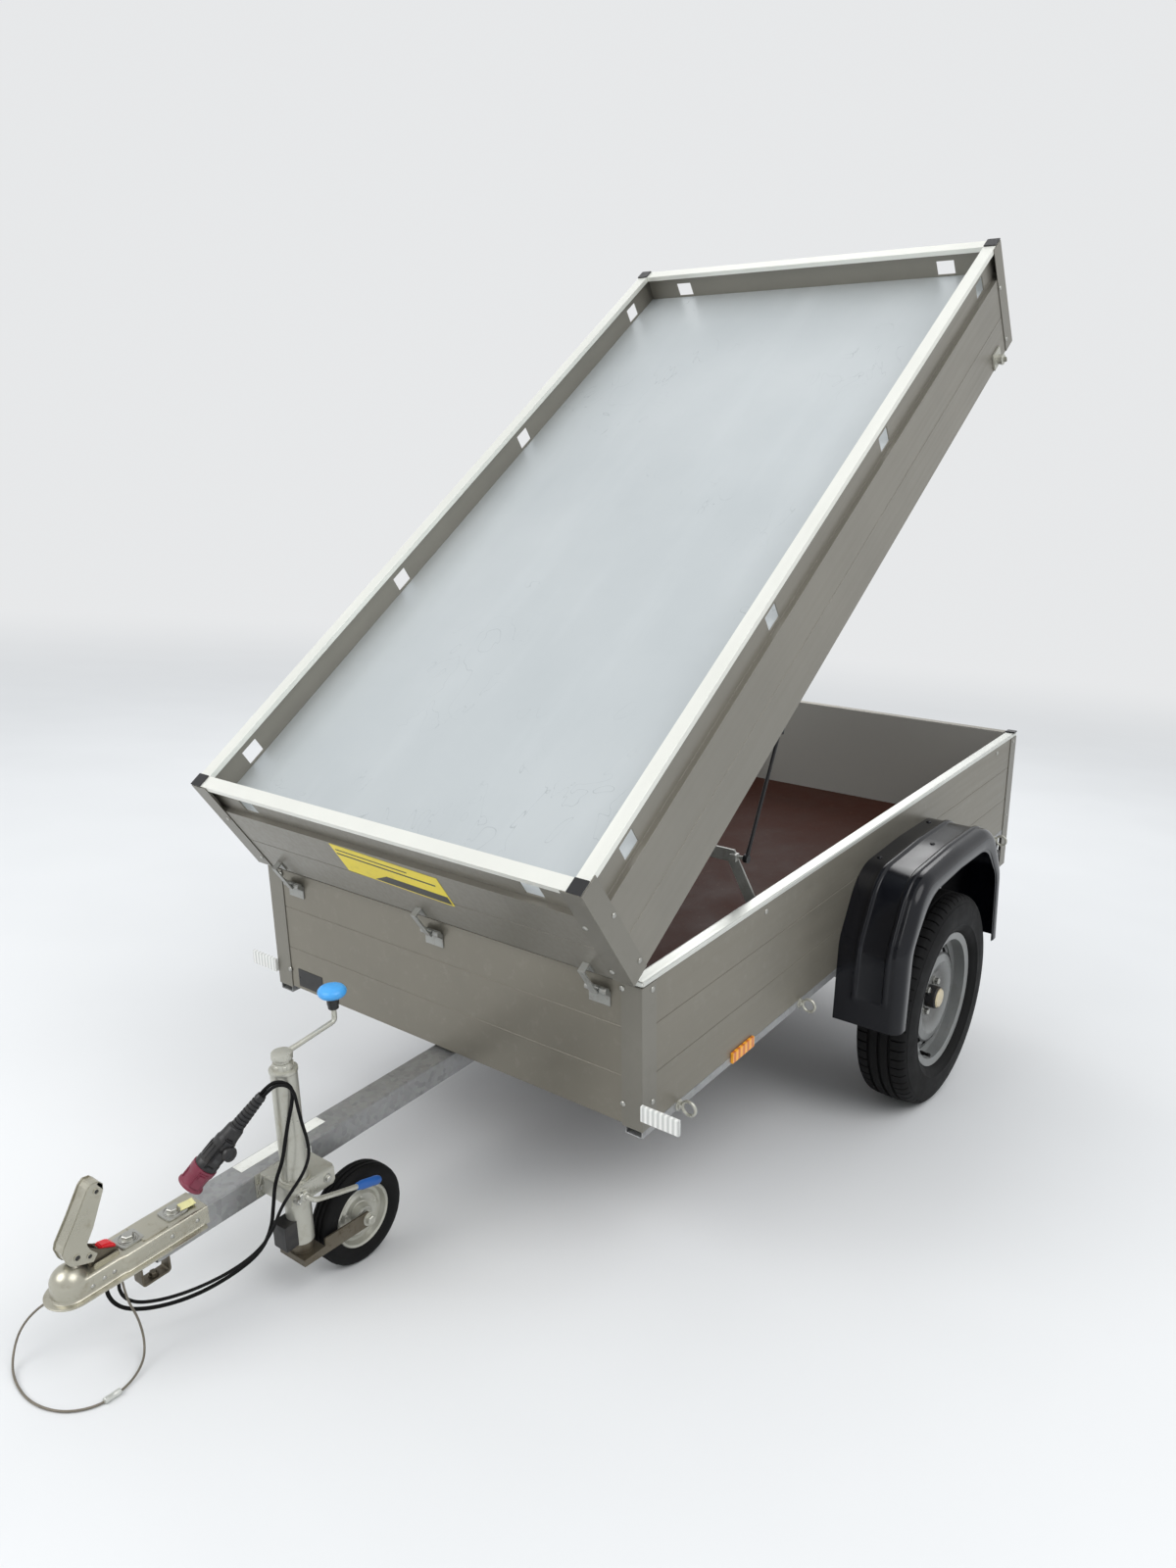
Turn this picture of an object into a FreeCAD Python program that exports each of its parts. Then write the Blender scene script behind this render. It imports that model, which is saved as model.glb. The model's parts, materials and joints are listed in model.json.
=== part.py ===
# Single-axle utility trailer with an aluminium box, a tray-shaped lid held open by gas struts, a tailgate,
# a ball coupling and a jockey wheel. Sizes are millimetres.
# The pieces are modelled on a level trailer: X forward, Y to the left, Z up, x = 0 at the front panel's face,
# z = 0 under the main wheels. PARKED then tips all of them onto the main wheels and the jockey wheel.
import FreeCAD
import Part
import math
import os
from FreeCAD import Placement, Rotation, Vector

# Load box
INNER_LENGTH = 2010.0
INNER_WIDTH = 1010.0
PANEL = 25.0
PANEL_HEIGHT = 300.0
BOX_BASE = 486.0
TOP_RAIL = 12.0
TOP_RAIL_LIP = 1.5
GROOVE = 2.0
PLANKS = 3
FLOOR_BOARD = 12.0
POST_LEG = 46.0
POST_SKIN = 2.0
REAR_POST_DROP = 130.0
CAP_HEIGHT = 9.0

# Tailgate
TAILGATE_GAP = 6.0
TAILGATE_OPEN = 175.0
TAILGATE_PIN_BACK = 9.0
TAILGATE_PIN_DROP = 8.0

# Chassis
SIDE_RAIL_WIDTH = 40.0
SIDE_RAIL_HEIGHT = 20.0
RAIL_WALL = 2.5
DRAWBAR_WIDTH = 60.0
DRAWBAR_HEIGHT = 50.0
DRAWBAR_RISE = 8.0
DRAWBAR_WALL = 3.0
DRAWBAR_NOSE = 722.0
GROMMET = 14.0
CROSS_WIDTH = 40.0
CROSS_HEIGHT = 40.0
CROSS_WALL = 3.0
CROSS_BAYS = 4
CROSS_INSET = 60.0

# Axle and wheels
AXLE_BACK = 1194.0
TYRE_RADIUS = 285.0
TYRE_WIDTH = 145.0
RIM_FLANGE_RADIUS = 181.0
RIM_WIDTH = 110.0
TYRE_CLEARANCE = 12.5
BEAM_SIZE = 70.0
BEAM_WALL = 4.0
BEAM_INSET = 165.0
ARM_REACH = 140.0
ARM_THICK = 22.0
ARM_COLLAR = 14.0
STUB_RADIUS = 15.0
SEAT_LENGTH = 60.0
SEAT_INSET = 50.0
BEARING_GAP = 0.08
RIM_LIP = 15.0
RIM_LIP_SKIN = 4.0
BEAD_GAP = 0.2
BEAD_STEP = 6.0
TREAD_SHARE = 0.86
SHOULDER_DROP = 16.0
RIM_SKIN = 4.0
DISC_RADIUS = 148.0
HUB_RADIUS = 48.0
HUB_BACK = 55.0
HUB_SEAT = 8.0
VENT_COUNT = 16
VENT_CIRCLE = 127.0
WHEEL_BOLTS = 4
BOLT_CIRCLE = 44.0

# Mudguards
GUARD_FRONT = 382.0
GUARD_REAR = 328.0
GUARD_TOP = 724.0
GUARD_LOW = 356.0
GUARD_WIDTH = 170.0
GUARD_SKIN = 4.0
GUARD_SHOULDER = 26.0
GUARD_SKIRT = 50.0
GUARD_FLANGE = 24.0
GUARD_LEAN = 22.0
GUARD_LEG_TOP = 560.0
GUARD_CROWN = 115.0
GUARD_BENDS = (100.0, 120.0)
GUARD_FOLD = 425.0
GUARD_RIDGES = ((44.0, 56.0, 4.0), (122.0, 134.0, 3.0))

# Lid
LID_HEIGHT = 275.0
LID_SEAL = 5.0
LID_WALL = 20.0
LID_OPEN = 33.4
LID_LOWER_WALL = 196.0
LID_CHANNEL_DEPTH = 12.0
LID_CHANNEL_SKIN = 3.0
LID_RIM_WIDTH = 30.0
LID_RIM_HEIGHT = 13.0
LID_SHEET_DEPTH = 76.0
LID_SHEET = 3.0
WINDOW_LENGTH = 46.0
WINDOW_HEIGHT = 36.0
SIDE_WINDOWS = (0.073, 0.359, 0.641, 0.939)
END_WINDOW = 0.74
PIN_AHEAD = 11.0
PIN_DROP = 35.0
PIN_RADIUS = 3.5
HINGE_WIDTH = 50.0
HINGE_INSET = 95.0
HINGE_MIDDLE = 5.0

# Gas struts and the hoop that carries them
HOOP_BACK = 472.0
HOOP_BAR = 28.0
HOOP_THICK = 5.0
HOOP_HEIGHT = 90.0
HOOP_INSET = 60.0
HOOP_FOOT_HEIGHT = 90.0
HOOP_BEND_DROP = 20.0
HOOP_BOSS = 16.0
STRUT_EYE = 9.0
STRUT_EYE_WIDTH = 10.0
STRUT_PIN_RADIUS = 4.0
STRUT_OUTBOARD = 29.0
STRUT_ON_LID = 1000.0
STRUT_UP_LID = 95.0
SOCKET_GAP = 0.5
CYLINDER_RADIUS = 10.0
CYLINDER_LENGTH = 340.0
NECK_RADIUS = 5.0
NECK_LENGTH = 6.0
ROD_RADIUS = 4.0
ROD_GAP = 0.08
ROD_OVERLAP = 28.0

# Jockey wheel
JOCKEY_AHEAD = 472.0
JOCKEY_SIDE = 92.0
JOCKEY_TUBE_RADIUS = 24.0
JOCKEY_TUBE_WALL = 2.5
JOCKEY_TUBE_TOP = 700.0
JOCKEY_COLLAR = 33.0
JOCKEY_TUBE_FOOT = 345.0
JOCKEY_SLIDE_GAP = 0.1
JOCKEY_WHEEL_RADIUS = 100.0
JOCKEY_WHEEL_WIDTH = 50.0
JOCKEY_TRAIL = 132.0
JOCKEY_HUB_HEIGHT = 318.0
CRANK_REACH = 122.0
CRANK_RISE = 11.0
CRANK_POST = 52.0
KNOB_RADIUS = 26.5
CLAMP_SPAN = (-66.0, 34.0)
CLAMP_DEPTH = 92.0
CLAMP_FLANGE = 38.0
CLAMP_SKIN = 3.5
CLAMP_PLATE = 10.0
LEVER_LINE = ((8, 30.3, -19), (8, 38, -19), (-4, 46, -30), (-58, 46, -47), (-110, 48, -61))
LEVER_RADIUS = 5.0
LEVER_GRIP = 8.5

# Coupling
BALL_RADIUS = 25.25
BALL_REACH = 135.0
COUPLING_SKIN = 4.0
COUPLING_SEAT = 105.0
COUPLING_LIP = 12.0
COUPLING_OPEN = 20.0
COUPLING_BALL_DROP = 6.0
COUPLING_EDGE = 6.0
COUPLING_STEP = 161.0
COUPLING_NOSE = 31.0
COUPLING_PLATFORM = (73.0, 121.0)
COUPLING_BOLT_INSETS = (47.0, 133.0)
COUPLING_BOLT_HEAD = 8.0
COUPLING_SLOT = (160.0, 206.0)
STRAP_PLACE = (71.0, 127.0)
STRAP_WIDTH = 24.0
STRAP_DROP = 45.0
STRAP_SKIN = 4.0
HANDLE_WIDTH = 30.0
HANDLE_SKIN = 3.5

# The coupling handle's outline from the ball's axis and the ball's height: ahead, up
HANDLE_OUTLINE = ((-37, 19), (-46, 30), (-35, 44), (-31, 56), (-46, 80), (-72, 136), (-73, 148), (-66, 156),
                  (-54, 158), (-45, 151), (-19, 110), (7, 73), (11, 62), (6, 43), (0, 34), (-18, 26))

# Plug and cables
PLUG_PLACE = Vector(20, 21, 53.5)
PLUG_SPAN = Vector(-111.5, 78, 149.5)
HARNESS_RADII = (3.5, 3.0)
BOOT_PITCH = 4.0
BOOT_RUN = 21.5
SAFETY_RADIUS = 2.0
CABLE_SEAT_GAP = 0.3

# The harness cables' corner points from the drawbar's mouth to the plug's boot, as steps from the mouth
LOWER_ROUTE = ((0, -10, 0), (46, -10, 0), (80, -8, -37), (66, 0, -86), (16, 14, -116), (-52, 35, -128),
               (-120, 56, -119), (-174, 72, -97), (-195, 82, -54), (-201, 87, -8), (-206, 92, 40),
               (-219, 104, 84), (-225, 110, 126), (-231, 117, 166), (-238.5, 124, 203), (-240, 125.5, 230.5),
               (-226.9, 115.9, 245.6))
UPPER_ROUTE = ((0, 10, 0), (40, 10, 0), (68, 12, -32), (55, 20, -72), (6, 32, -96), (-58, 50, -105),
               (-122, 70, -98), (-166, 85, -78), (-189, 97, -44), (-198, 112, 0), (-212, 130, 36),
               (-232, 142, 66), (-244, 149, 100), (-243, 148, 134), (-239, 143, 166), (-238, 137, 199),
               (-237.7, 132.1, 228.1), (-225.1, 123.3, 243.2))

# Lashing rings
RING_RADIUS = 15.0
RING_BAR = 3.7
RING_SIDES = 8

# Derived places
BOX_LENGTH = INNER_LENGTH + 2 * PANEL
HALF_OUT = INNER_WIDTH / 2 + PANEL
HALF_IN = INNER_WIDTH / 2
PANEL_TOP = BOX_BASE + PANEL_HEIGHT
BOX_TOP = PANEL_TOP + TOP_RAIL
FRAME_LOW = BOX_BASE - SIDE_RAIL_HEIGHT
DRAWBAR_TOP = FRAME_LOW + DRAWBAR_RISE
DRAWBAR_LOW = DRAWBAR_TOP - DRAWBAR_HEIGHT
LID_BASE = BOX_TOP + LID_SEAL
LID_TOP = LID_BASE + LID_HEIGHT
PIN = Vector(PIN_AHEAD, 0, BOX_TOP - PIN_DROP)
TAILGATE_PIN = Vector(-BOX_LENGTH - TAILGATE_PIN_BACK, 0, BOX_BASE - TAILGATE_PIN_DROP)
TRACK_HALF = HALF_OUT + TYRE_CLEARANCE + TYRE_WIDTH / 2
BEAM_HALF_LENGTH = TRACK_HALF - BEAM_INSET
WHEEL = Vector(-AXLE_BACK, TRACK_HALF, TYRE_RADIUS)
BEAM_TOP = DRAWBAR_LOW
BEAM = Vector(-AXLE_BACK + ARM_REACH, 0, BEAM_TOP - BEAM_SIZE / 2)
JOCKEY = Vector(JOCKEY_AHEAD, JOCKEY_SIDE, JOCKEY_TUBE_FOOT)
JOCKEY_WHEEL = Vector(JOCKEY_AHEAD - JOCKEY_TRAIL, JOCKEY_SIDE, JOCKEY_HUB_HEIGHT)
HOOP_KNEE = HALF_IN - HOOP_INSET
STRUT_SIDE = HOOP_KNEE + STRUT_OUTBOARD
STRUT_FOOT = Vector(-HOOP_BACK, STRUT_SIDE, BOX_TOP + HOOP_HEIGHT - HOOP_BAR / 2)
HINGE_PLACES = (HINGE_INSET - HALF_OUT, HINGE_MIDDLE, HALF_OUT - HINGE_INSET)
BALL_AHEAD = DRAWBAR_NOSE + BALL_REACH
COUPLING_REAR = DRAWBAR_NOSE - COUPLING_SEAT
BALL_Z = DRAWBAR_TOP - COUPLING_BALL_DROP
PLUG_FACE = Vector(COUPLING_REAR, 0, DRAWBAR_TOP) + PLUG_PLACE
PLUG_BOOT = PLUG_FACE + PLUG_SPAN
RING_PLACES = (-127.0, -638.0, -BOX_LENGTH + 121.0)
REFLECTOR_PLACES = (-371.0, -BOX_LENGTH + 270.0)

UP = Vector(0, 0, 1)
LEFT = Vector(0, 1, 0)
AHEAD = Vector(1, 0, 0)

PIECES = {}


# Shape helpers

def block(x0, x1, y0, y1, z0, z1):
    return Part.makeBox(x1 - x0, y1 - y0, z1 - z0, Vector(x0, y0, z0))


def rod(start, axis, radius, length):
    return Part.makeCylinder(radius, length, start, axis)


def side_plate(outline, y0, y1):
    """A plate with an outline in X and Z, from y0 to y1."""
    points = [Vector(x, y0, z) for x, z in outline]
    face = Part.Face(Part.makePolygon(points + points[:1]))
    return face.extrude(Vector(0, y1 - y0, 0))


def front_plate(outline, x0, x1):
    """A plate with an outline in Y and Z, from x0 to x1."""
    points = [Vector(x0, y, z) for y, z in outline]
    face = Part.Face(Part.makePolygon(points + points[:1]))
    return face.extrude(Vector(x1 - x0, 0, 0))


def flat_plate(outline, z0, z1):
    """A plate with an outline in X and Y, from z0 to z1."""
    points = [Vector(x, y, z0) for x, y in outline]
    face = Part.Face(Part.makePolygon(points + points[:1]))
    return face.extrude(Vector(0, 0, z1 - z0))


def rounded_outline(corners):
    """Edges round a closed outline of (point, radius), with a tangent arc at each corner that has a radius."""
    count = len(corners)
    joints = []
    for i, (point, radius) in enumerate(corners):
        before = (corners[i - 1][0] - point).normalize()
        after = (corners[(i + 1) % count][0] - point).normalize()
        if radius <= 0:
            joints.append((point, None, point))
            continue
        half = before.getAngle(after) / 2
        reach = radius / math.tan(half)
        middle = (before + after).normalize()
        centre = point + middle * (radius / math.sin(half))
        joints.append((point + before * reach, centre - middle * radius, point + after * reach))
    edges = []
    for i, (start, middle, end) in enumerate(joints):
        if middle is not None:
            edges.append(Part.Arc(start, middle, end).toShape())
        following = joints[(i + 1) % count][0]
        if (following - end).Length > 1e-6:
            edges.append(Part.LineSegment(end, following).toShape())
    return Part.Wire(edges)


def turned(profile, centre, axis):
    """A solid of revolution from (radius, distance along the axis) points about an axis along Y or Z."""
    if axis == LEFT:
        points = [centre + Vector(radius, along, 0) for radius, along in profile]
    else:
        points = [centre + Vector(radius, 0, along) for radius, along in profile]
    face = Part.Face(Part.makePolygon(points + points[:1]))
    return face.revolve(centre, axis, 360)


def swung(shape, pivot, axis, degrees):
    moved = shape.copy()
    moved.rotate(pivot, axis, degrees)
    return moved


def swung_point(point, pivot, axis, degrees):
    return pivot + Rotation(axis, degrees).multVec(point - pivot)


def mirrored(shape):
    return shape.mirror(Vector(0, 0, 0), LEFT)


def fused(shapes):
    whole = shapes[0]
    if len(shapes) > 1:
        whole = whole.multiFuse(shapes[1:])
    return whole.removeSplitter()


def keep(name, *shapes):
    """Keeps one named piece, as one solid or as several that don't touch."""
    solids = [solid for shape in shapes for solid in shape.Solids]
    PIECES[name] = solids[0] if len(solids) == 1 else Part.makeCompound(solids)


def opened(shape):
    """Swings a lid piece from its closed place to where the gas struts hold it."""
    return swung(shape, PIN, LEFT, LID_OPEN)


# Chassis

def hollow_bar(x0, x1, y0, y1, z0, z1, wall, along):
    inside = [x0 + wall, x1 - wall, y0 + wall, y1 - wall, z0 + wall, z1 - wall]
    outside = [x0, x1, y0, y1, z0, z1]
    inside[2 * along] = outside[2 * along] - 1
    inside[2 * along + 1] = outside[2 * along + 1] + 1
    return block(*outside).cut(block(*inside))


def cross_member(middle):
    """A channel across the frame, open to the rear, notched over the drawbar."""
    half = HALF_OUT - SIDE_RAIL_WIDTH
    top = BOX_BASE
    low = BOX_BASE - CROSS_HEIGHT
    channel = block(middle - CROSS_WIDTH / 2, middle + CROSS_WIDTH / 2, -half, half, low, top)
    hollow = block(middle - CROSS_WIDTH, middle + CROSS_WIDTH / 2 - CROSS_WALL, -half - 1, half + 1,
                   low + CROSS_WALL, top - CROSS_WALL)
    beside = DRAWBAR_WIDTH / 2
    notch = block(middle - CROSS_WIDTH, middle + CROSS_WIDTH, -beside, beside, low - 1, DRAWBAR_TOP)
    return channel.cut(hollow).cut(notch)


def chassis():
    keep("drawbar", hollow_bar(BEAM.x - BEAM_SIZE, DRAWBAR_NOSE, -DRAWBAR_WIDTH / 2, DRAWBAR_WIDTH / 2,
                               DRAWBAR_LOW, DRAWBAR_TOP, DRAWBAR_WALL, 0))
    rail = hollow_bar(-BOX_LENGTH, 0, HALF_OUT - SIDE_RAIL_WIDTH, HALF_OUT, FRAME_LOW, BOX_BASE, RAIL_WALL, 0)
    keep("side_rails", rail, mirrored(rail))
    first = -CROSS_INSET - CROSS_WIDTH / 2
    last = -BOX_LENGTH + CROSS_INSET + CROSS_WIDTH / 2
    places = [first + (last - first) * i / CROSS_BAYS for i in range(CROSS_BAYS + 1)]
    nearest = min(range(1, CROSS_BAYS), key=lambda i: abs(places[i] - BEAM.x))
    places[nearest] = BEAM.x
    keep("cross_members", *[cross_member(place) for place in places])


def axle():
    tube = hollow_bar(BEAM.x - BEAM_SIZE / 2, BEAM.x + BEAM_SIZE / 2, -BEAM_HALF_LENGTH, BEAM_HALF_LENGTH,
                      BEAM.z - BEAM_SIZE / 2, BEAM_TOP, BEAM_WALL, 1)
    seat = block(BEAM.x - CROSS_WIDTH / 2, BEAM.x + CROSS_WIDTH / 2, BEAM_HALF_LENGTH - SEAT_INSET - SEAT_LENGTH,
                 BEAM_HALF_LENGTH - SEAT_INSET, BEAM_TOP, BOX_BASE - CROSS_HEIGHT)
    keep("axle_beam", fused([tube, seat, mirrored(seat)]))
    inner = BEAM_HALF_LENGTH
    root = Vector(BEAM.x, inner, BEAM.z)
    tip = Vector(WHEEL.x, inner, WHEEL.z)
    near = BEAM_SIZE / 2 - 3
    far = STUB_RADIUS + ARM_COLLAR
    slope = tip - root
    across = Vector(-slope.z, 0, slope.x).normalize()
    web = [root + across * near, tip + across * far, tip - across * far, root - across * near]
    web = Part.Face(Part.makePolygon(web + web[:1])).extrude(Vector(0, ARM_THICK, 0))
    boss = rod(tip, LEFT, STUB_RADIUS + ARM_COLLAR - 5, TRACK_HALF - HUB_BACK - 6 - inner)
    stub = rod(tip, LEFT, STUB_RADIUS, TRACK_HALF + HUB_SEAT - inner)
    arm = fused([rod(root, LEFT, near, ARM_THICK), rod(tip, LEFT, far, ARM_THICK), web, boss, stub])
    keep("axle_arms", arm, mirrored(arm))


# Wheels

def tyre(centre, radius, width, bead, bead_half, lip):
    """A tyre's section turned about its axle: its beads stand between the rim's lips, clear of them."""
    half = width / 2
    tread = half * TREAD_SHARE
    side = ((bead, bead_half), (bead + lip, bead_half), (bead + lip + BEAD_STEP, (bead_half + half) / 2),
            ((bead + radius) / 2, half), (radius - SHOULDER_DROP, half - 2), (radius - 3, tread),
            (radius, tread - SHOULDER_DROP / 2))
    other = [(at, -along) for at, along in reversed(side)]
    return turned(list(side) + other, centre, LEFT)


def rim(centre):
    """A pressed steel rim: a dropped barrel, a domed disc near its outer edge and a ring of oval vents."""
    half = RIM_WIDTH / 2
    bead = RIM_FLANGE_RADIUS - RIM_LIP
    lip = RIM_LIP_SKIN
    barrel = turned(((RIM_FLANGE_RADIUS, half), (RIM_FLANGE_RADIUS, half - lip), (bead, half - lip), (bead, 20),
                     (DISC_RADIUS + 4, 14), (DISC_RADIUS + 4, -14), (bead, -20), (bead, -half + lip),
                     (RIM_FLANGE_RADIUS, -half + lip), (RIM_FLANGE_RADIUS, -half), (bead - RIM_SKIN, -half + 3),
                     (bead - RIM_SKIN, -22), (DISC_RADIUS, -17), (DISC_RADIUS, 17), (bead - RIM_SKIN, 22),
                     (bead - RIM_SKIN, half - 3)), centre, LEFT)
    disc = turned(((DISC_RADIUS, 13), (DISC_RADIUS, 9), (126, 25), (100, 32), (78, 22), (HUB_RADIUS + 12, 12),
                   (30.3, 12), (30.3, 16), (HUB_RADIUS + 10, 16), (76, 26), (98, 37), (128, 30)), centre, LEFT)
    whole = fused([barrel, disc])
    for i in range(VENT_COUNT):
        angle = 2 * math.pi * i / VENT_COUNT
        out = Vector(math.cos(angle), 0, math.sin(angle))
        along = Vector(-math.sin(angle), 0, math.cos(angle))
        spot = centre + out * VENT_CIRCLE
        ends = [rod(spot + along * shift, LEFT, 6, 60) for shift in (-7, 7)]
        middle = [spot + along * 7 + out * 6, spot - along * 7 + out * 6, spot - along * 7 - out * 6,
                  spot + along * 7 - out * 6]
        slot = Part.Face(Part.makePolygon(middle + middle[:1])).extrude(Vector(0, 60, 0))
        whole = whole.cut(fused(ends + [slot]))
    return whole


def hub(centre):
    """The hub that turns on the stub axle, with its flange, cap and wheel bolts."""
    bore = STUB_RADIUS + BEARING_GAP
    flange = HUB_RADIUS + HUB_SEAT
    body = turned(((bore, -HUB_BACK), (34, -HUB_BACK), (38, -10), (flange, -4), (flange, 12),
                   (30, 12), (30, 40), (26, 44), (0, 46), (0, 12), (bore, 12)), centre, LEFT)
    bolts = []
    for i in range(WHEEL_BOLTS):
        angle = 2 * math.pi * (i + 0.5) / WHEEL_BOLTS
        spot = centre + Vector(math.cos(angle) * BOLT_CIRCLE, 16, math.sin(angle) * BOLT_CIRCLE)
        bolts.append(rod(spot, LEFT, 8, 12))
    return body, bolts


def wheels():
    """Both wheels, from one tyre, one rim and one hub."""
    bead = RIM_FLANGE_RADIUS - RIM_LIP
    between_lips = RIM_WIDTH / 2 - RIM_LIP_SKIN - BEAD_GAP
    rubber = tyre(WHEEL, TYRE_RADIUS, TYRE_WIDTH, bead + BEAD_GAP, between_lips, RIM_LIP)
    body, bolts = hub(WHEEL)
    for side in ("left", "right"):
        turn = (lambda shape: shape) if side == "left" else mirrored
        keep("tyre_" + side, turn(rubber))
        keep("rim_" + side, turn(rim(WHEEL)))
        keep("hub_" + side, turn(body), *[turn(bolt) for bolt in bolts])


# Mudguards

def guard_outline(grow, y):
    """The arch's outline in X and Z at one y, grown outward by a distance, open stretches at the foot."""
    front = WHEEL.x + GUARD_FRONT + grow
    rear = WHEEL.x - GUARD_REAR - grow
    top = GUARD_TOP + grow
    low = GUARD_LOW - 2 * GUARD_SKIRT
    leg, crown = GUARD_BENDS
    corners = ((front, low, 0), (front - GUARD_LEAN, GUARD_LEG_TOP, leg), (front - GUARD_CROWN, top - 7, crown),
               ((front + rear) / 2, top, 0), (rear + GUARD_CROWN, top - 7, crown),
               (rear + GUARD_LEAN, GUARD_LEG_TOP, leg), (rear, low, 0))
    return [(Vector(x, y, z), radius) for x, z, radius in corners]


def guard_prism(grow, y0, y1):
    return Part.Face(rounded_outline(guard_outline(grow, y0))).extrude(Vector(0, y1 - y0, 0))


def shouldered_prism(grow, y0, y1, shoulder):
    """The arch's prism with a round shoulder along its outer edge."""
    prism = guard_prism(grow, y0, y1)
    low = GUARD_LOW - 2 * GUARD_SKIRT
    along = []
    for edge in prism.Edges:
        places = [vertex.Point for vertex in edge.Vertexes]
        at_face = all(abs(place.y - y1) < 0.01 for place in places)
        at_foot = all(abs(place.z - low) < 0.01 for place in places)
        if at_face and not at_foot:
            along.append(edge)
    return prism.makeFillet(shoulder, along)


def below(height, y0, y1):
    """A block that takes in all of a mudguard below a height."""
    return block(WHEEL.x - GUARD_REAR - 40, WHEEL.x + GUARD_FRONT + 40, y0, y1, 0, height)


def mudguard():
    """A moulded arch with a round shoulder, an outer skirt, two raised ridges and a flange against the box."""
    inner = HALF_OUT
    outer = HALF_OUT + GUARD_WIDTH
    skin = GUARD_SKIN
    arch = shouldered_prism(0, inner, outer, GUARD_SHOULDER)
    ridges = [guard_prism(rise, inner + start, inner + end).cut(below(GUARD_FOLD, inner, outer))
              for start, end, rise in GUARD_RIDGES]
    whole = fused([arch] + ridges)
    whole = whole.cut(shouldered_prism(-skin, inner - 1, outer - skin, GUARD_SHOULDER - skin))
    whole = whole.cut(guard_prism(-GUARD_SKIRT, outer - GUARD_SHOULDER, outer + 1))
    whole = whole.cut(below(GUARD_LOW, inner - 1, outer + 1))
    flange = guard_prism(0, inner, inner + skin).cut(guard_prism(-GUARD_FLANGE, inner - 1, inner + skin + 1))
    flange = flange.cut(below(BOX_BASE, inner - 1, outer + 1))
    return fused([whole, flange])


def mudguards():
    guard = mudguard()
    keep("mudguard_left", guard)
    keep("mudguard_right", mirrored(guard))


# Box

def planked(panel, cutter):
    """Cuts the grooves that show between a panel's planks."""
    for i in range(1, PLANKS):
        height = BOX_BASE + (PANEL_HEIGHT + TOP_RAIL) * i / PLANKS
        panel = panel.cut(cutter(height - GROOVE / 2, height + GROOVE / 2))
    return panel


def box_walls():
    side = block(-BOX_LENGTH, 0, HALF_IN, HALF_OUT, BOX_BASE, PANEL_TOP)
    side = planked(side, lambda z0, z1: block(-BOX_LENGTH + POST_LEG, -POST_LEG, HALF_OUT - 1, HALF_OUT + 1, z0, z1))
    keep("panel_left", side)
    keep("panel_right", mirrored(side))
    front = block(-PANEL, 0, -HALF_IN, HALF_IN, BOX_BASE, PANEL_TOP)
    edge = HALF_OUT - POST_LEG
    front = planked(front, lambda z0, z1: block(-1, 1, -edge, edge, z0, z1))
    keep("panel_front", front)
    keep("floor_board", block(-BOX_LENGTH + PANEL + TAILGATE_GAP, -PANEL, -HALF_IN, HALF_IN, BOX_BASE,
                              BOX_BASE + FLOOR_BOARD))


def top_rails():
    """The bright edge profiles along the top of the three fixed walls."""
    lip = TOP_RAIL_LIP
    left = block(-BOX_LENGTH, -lip, HALF_IN - lip, HALF_OUT + lip, PANEL_TOP, BOX_TOP)
    front = block(-PANEL - lip, -lip, -HALF_IN + lip, HALF_IN - lip, PANEL_TOP, BOX_TOP)
    keep("top_rails", left, mirrored(left), front)


def corner_posts():
    """Angle profiles over the front corners, and posts at the rear that reach down to the lamps."""
    skin = POST_SKIN
    top = PANEL_TOP
    angle = flat_plate(((skin, HALF_OUT + skin), (skin, HALF_OUT - POST_LEG), (0, HALF_OUT - POST_LEG), (0, HALF_OUT),
                        (-POST_LEG, HALF_OUT), (-POST_LEG, HALF_OUT + skin)), BOX_BASE - 4, top)
    back = -BOX_LENGTH
    post = flat_plate(((back - skin, HALF_OUT + skin), (back - skin, HALF_IN + 4), (back, HALF_IN + 4),
                       (back, HALF_OUT), (back + POST_LEG, HALF_OUT), (back + POST_LEG, HALF_OUT + skin)),
                      BOX_BASE - REAR_POST_DROP, top)
    keep("corner_posts", angle, mirrored(angle), post, mirrored(post))
    cap = block(back - skin - 1, back + 24, HALF_IN - 2, HALF_OUT + skin + 1, BOX_TOP, BOX_TOP + CAP_HEIGHT - 5)
    keep("rear_caps", cap, mirrored(cap))


# Tailgate

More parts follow.
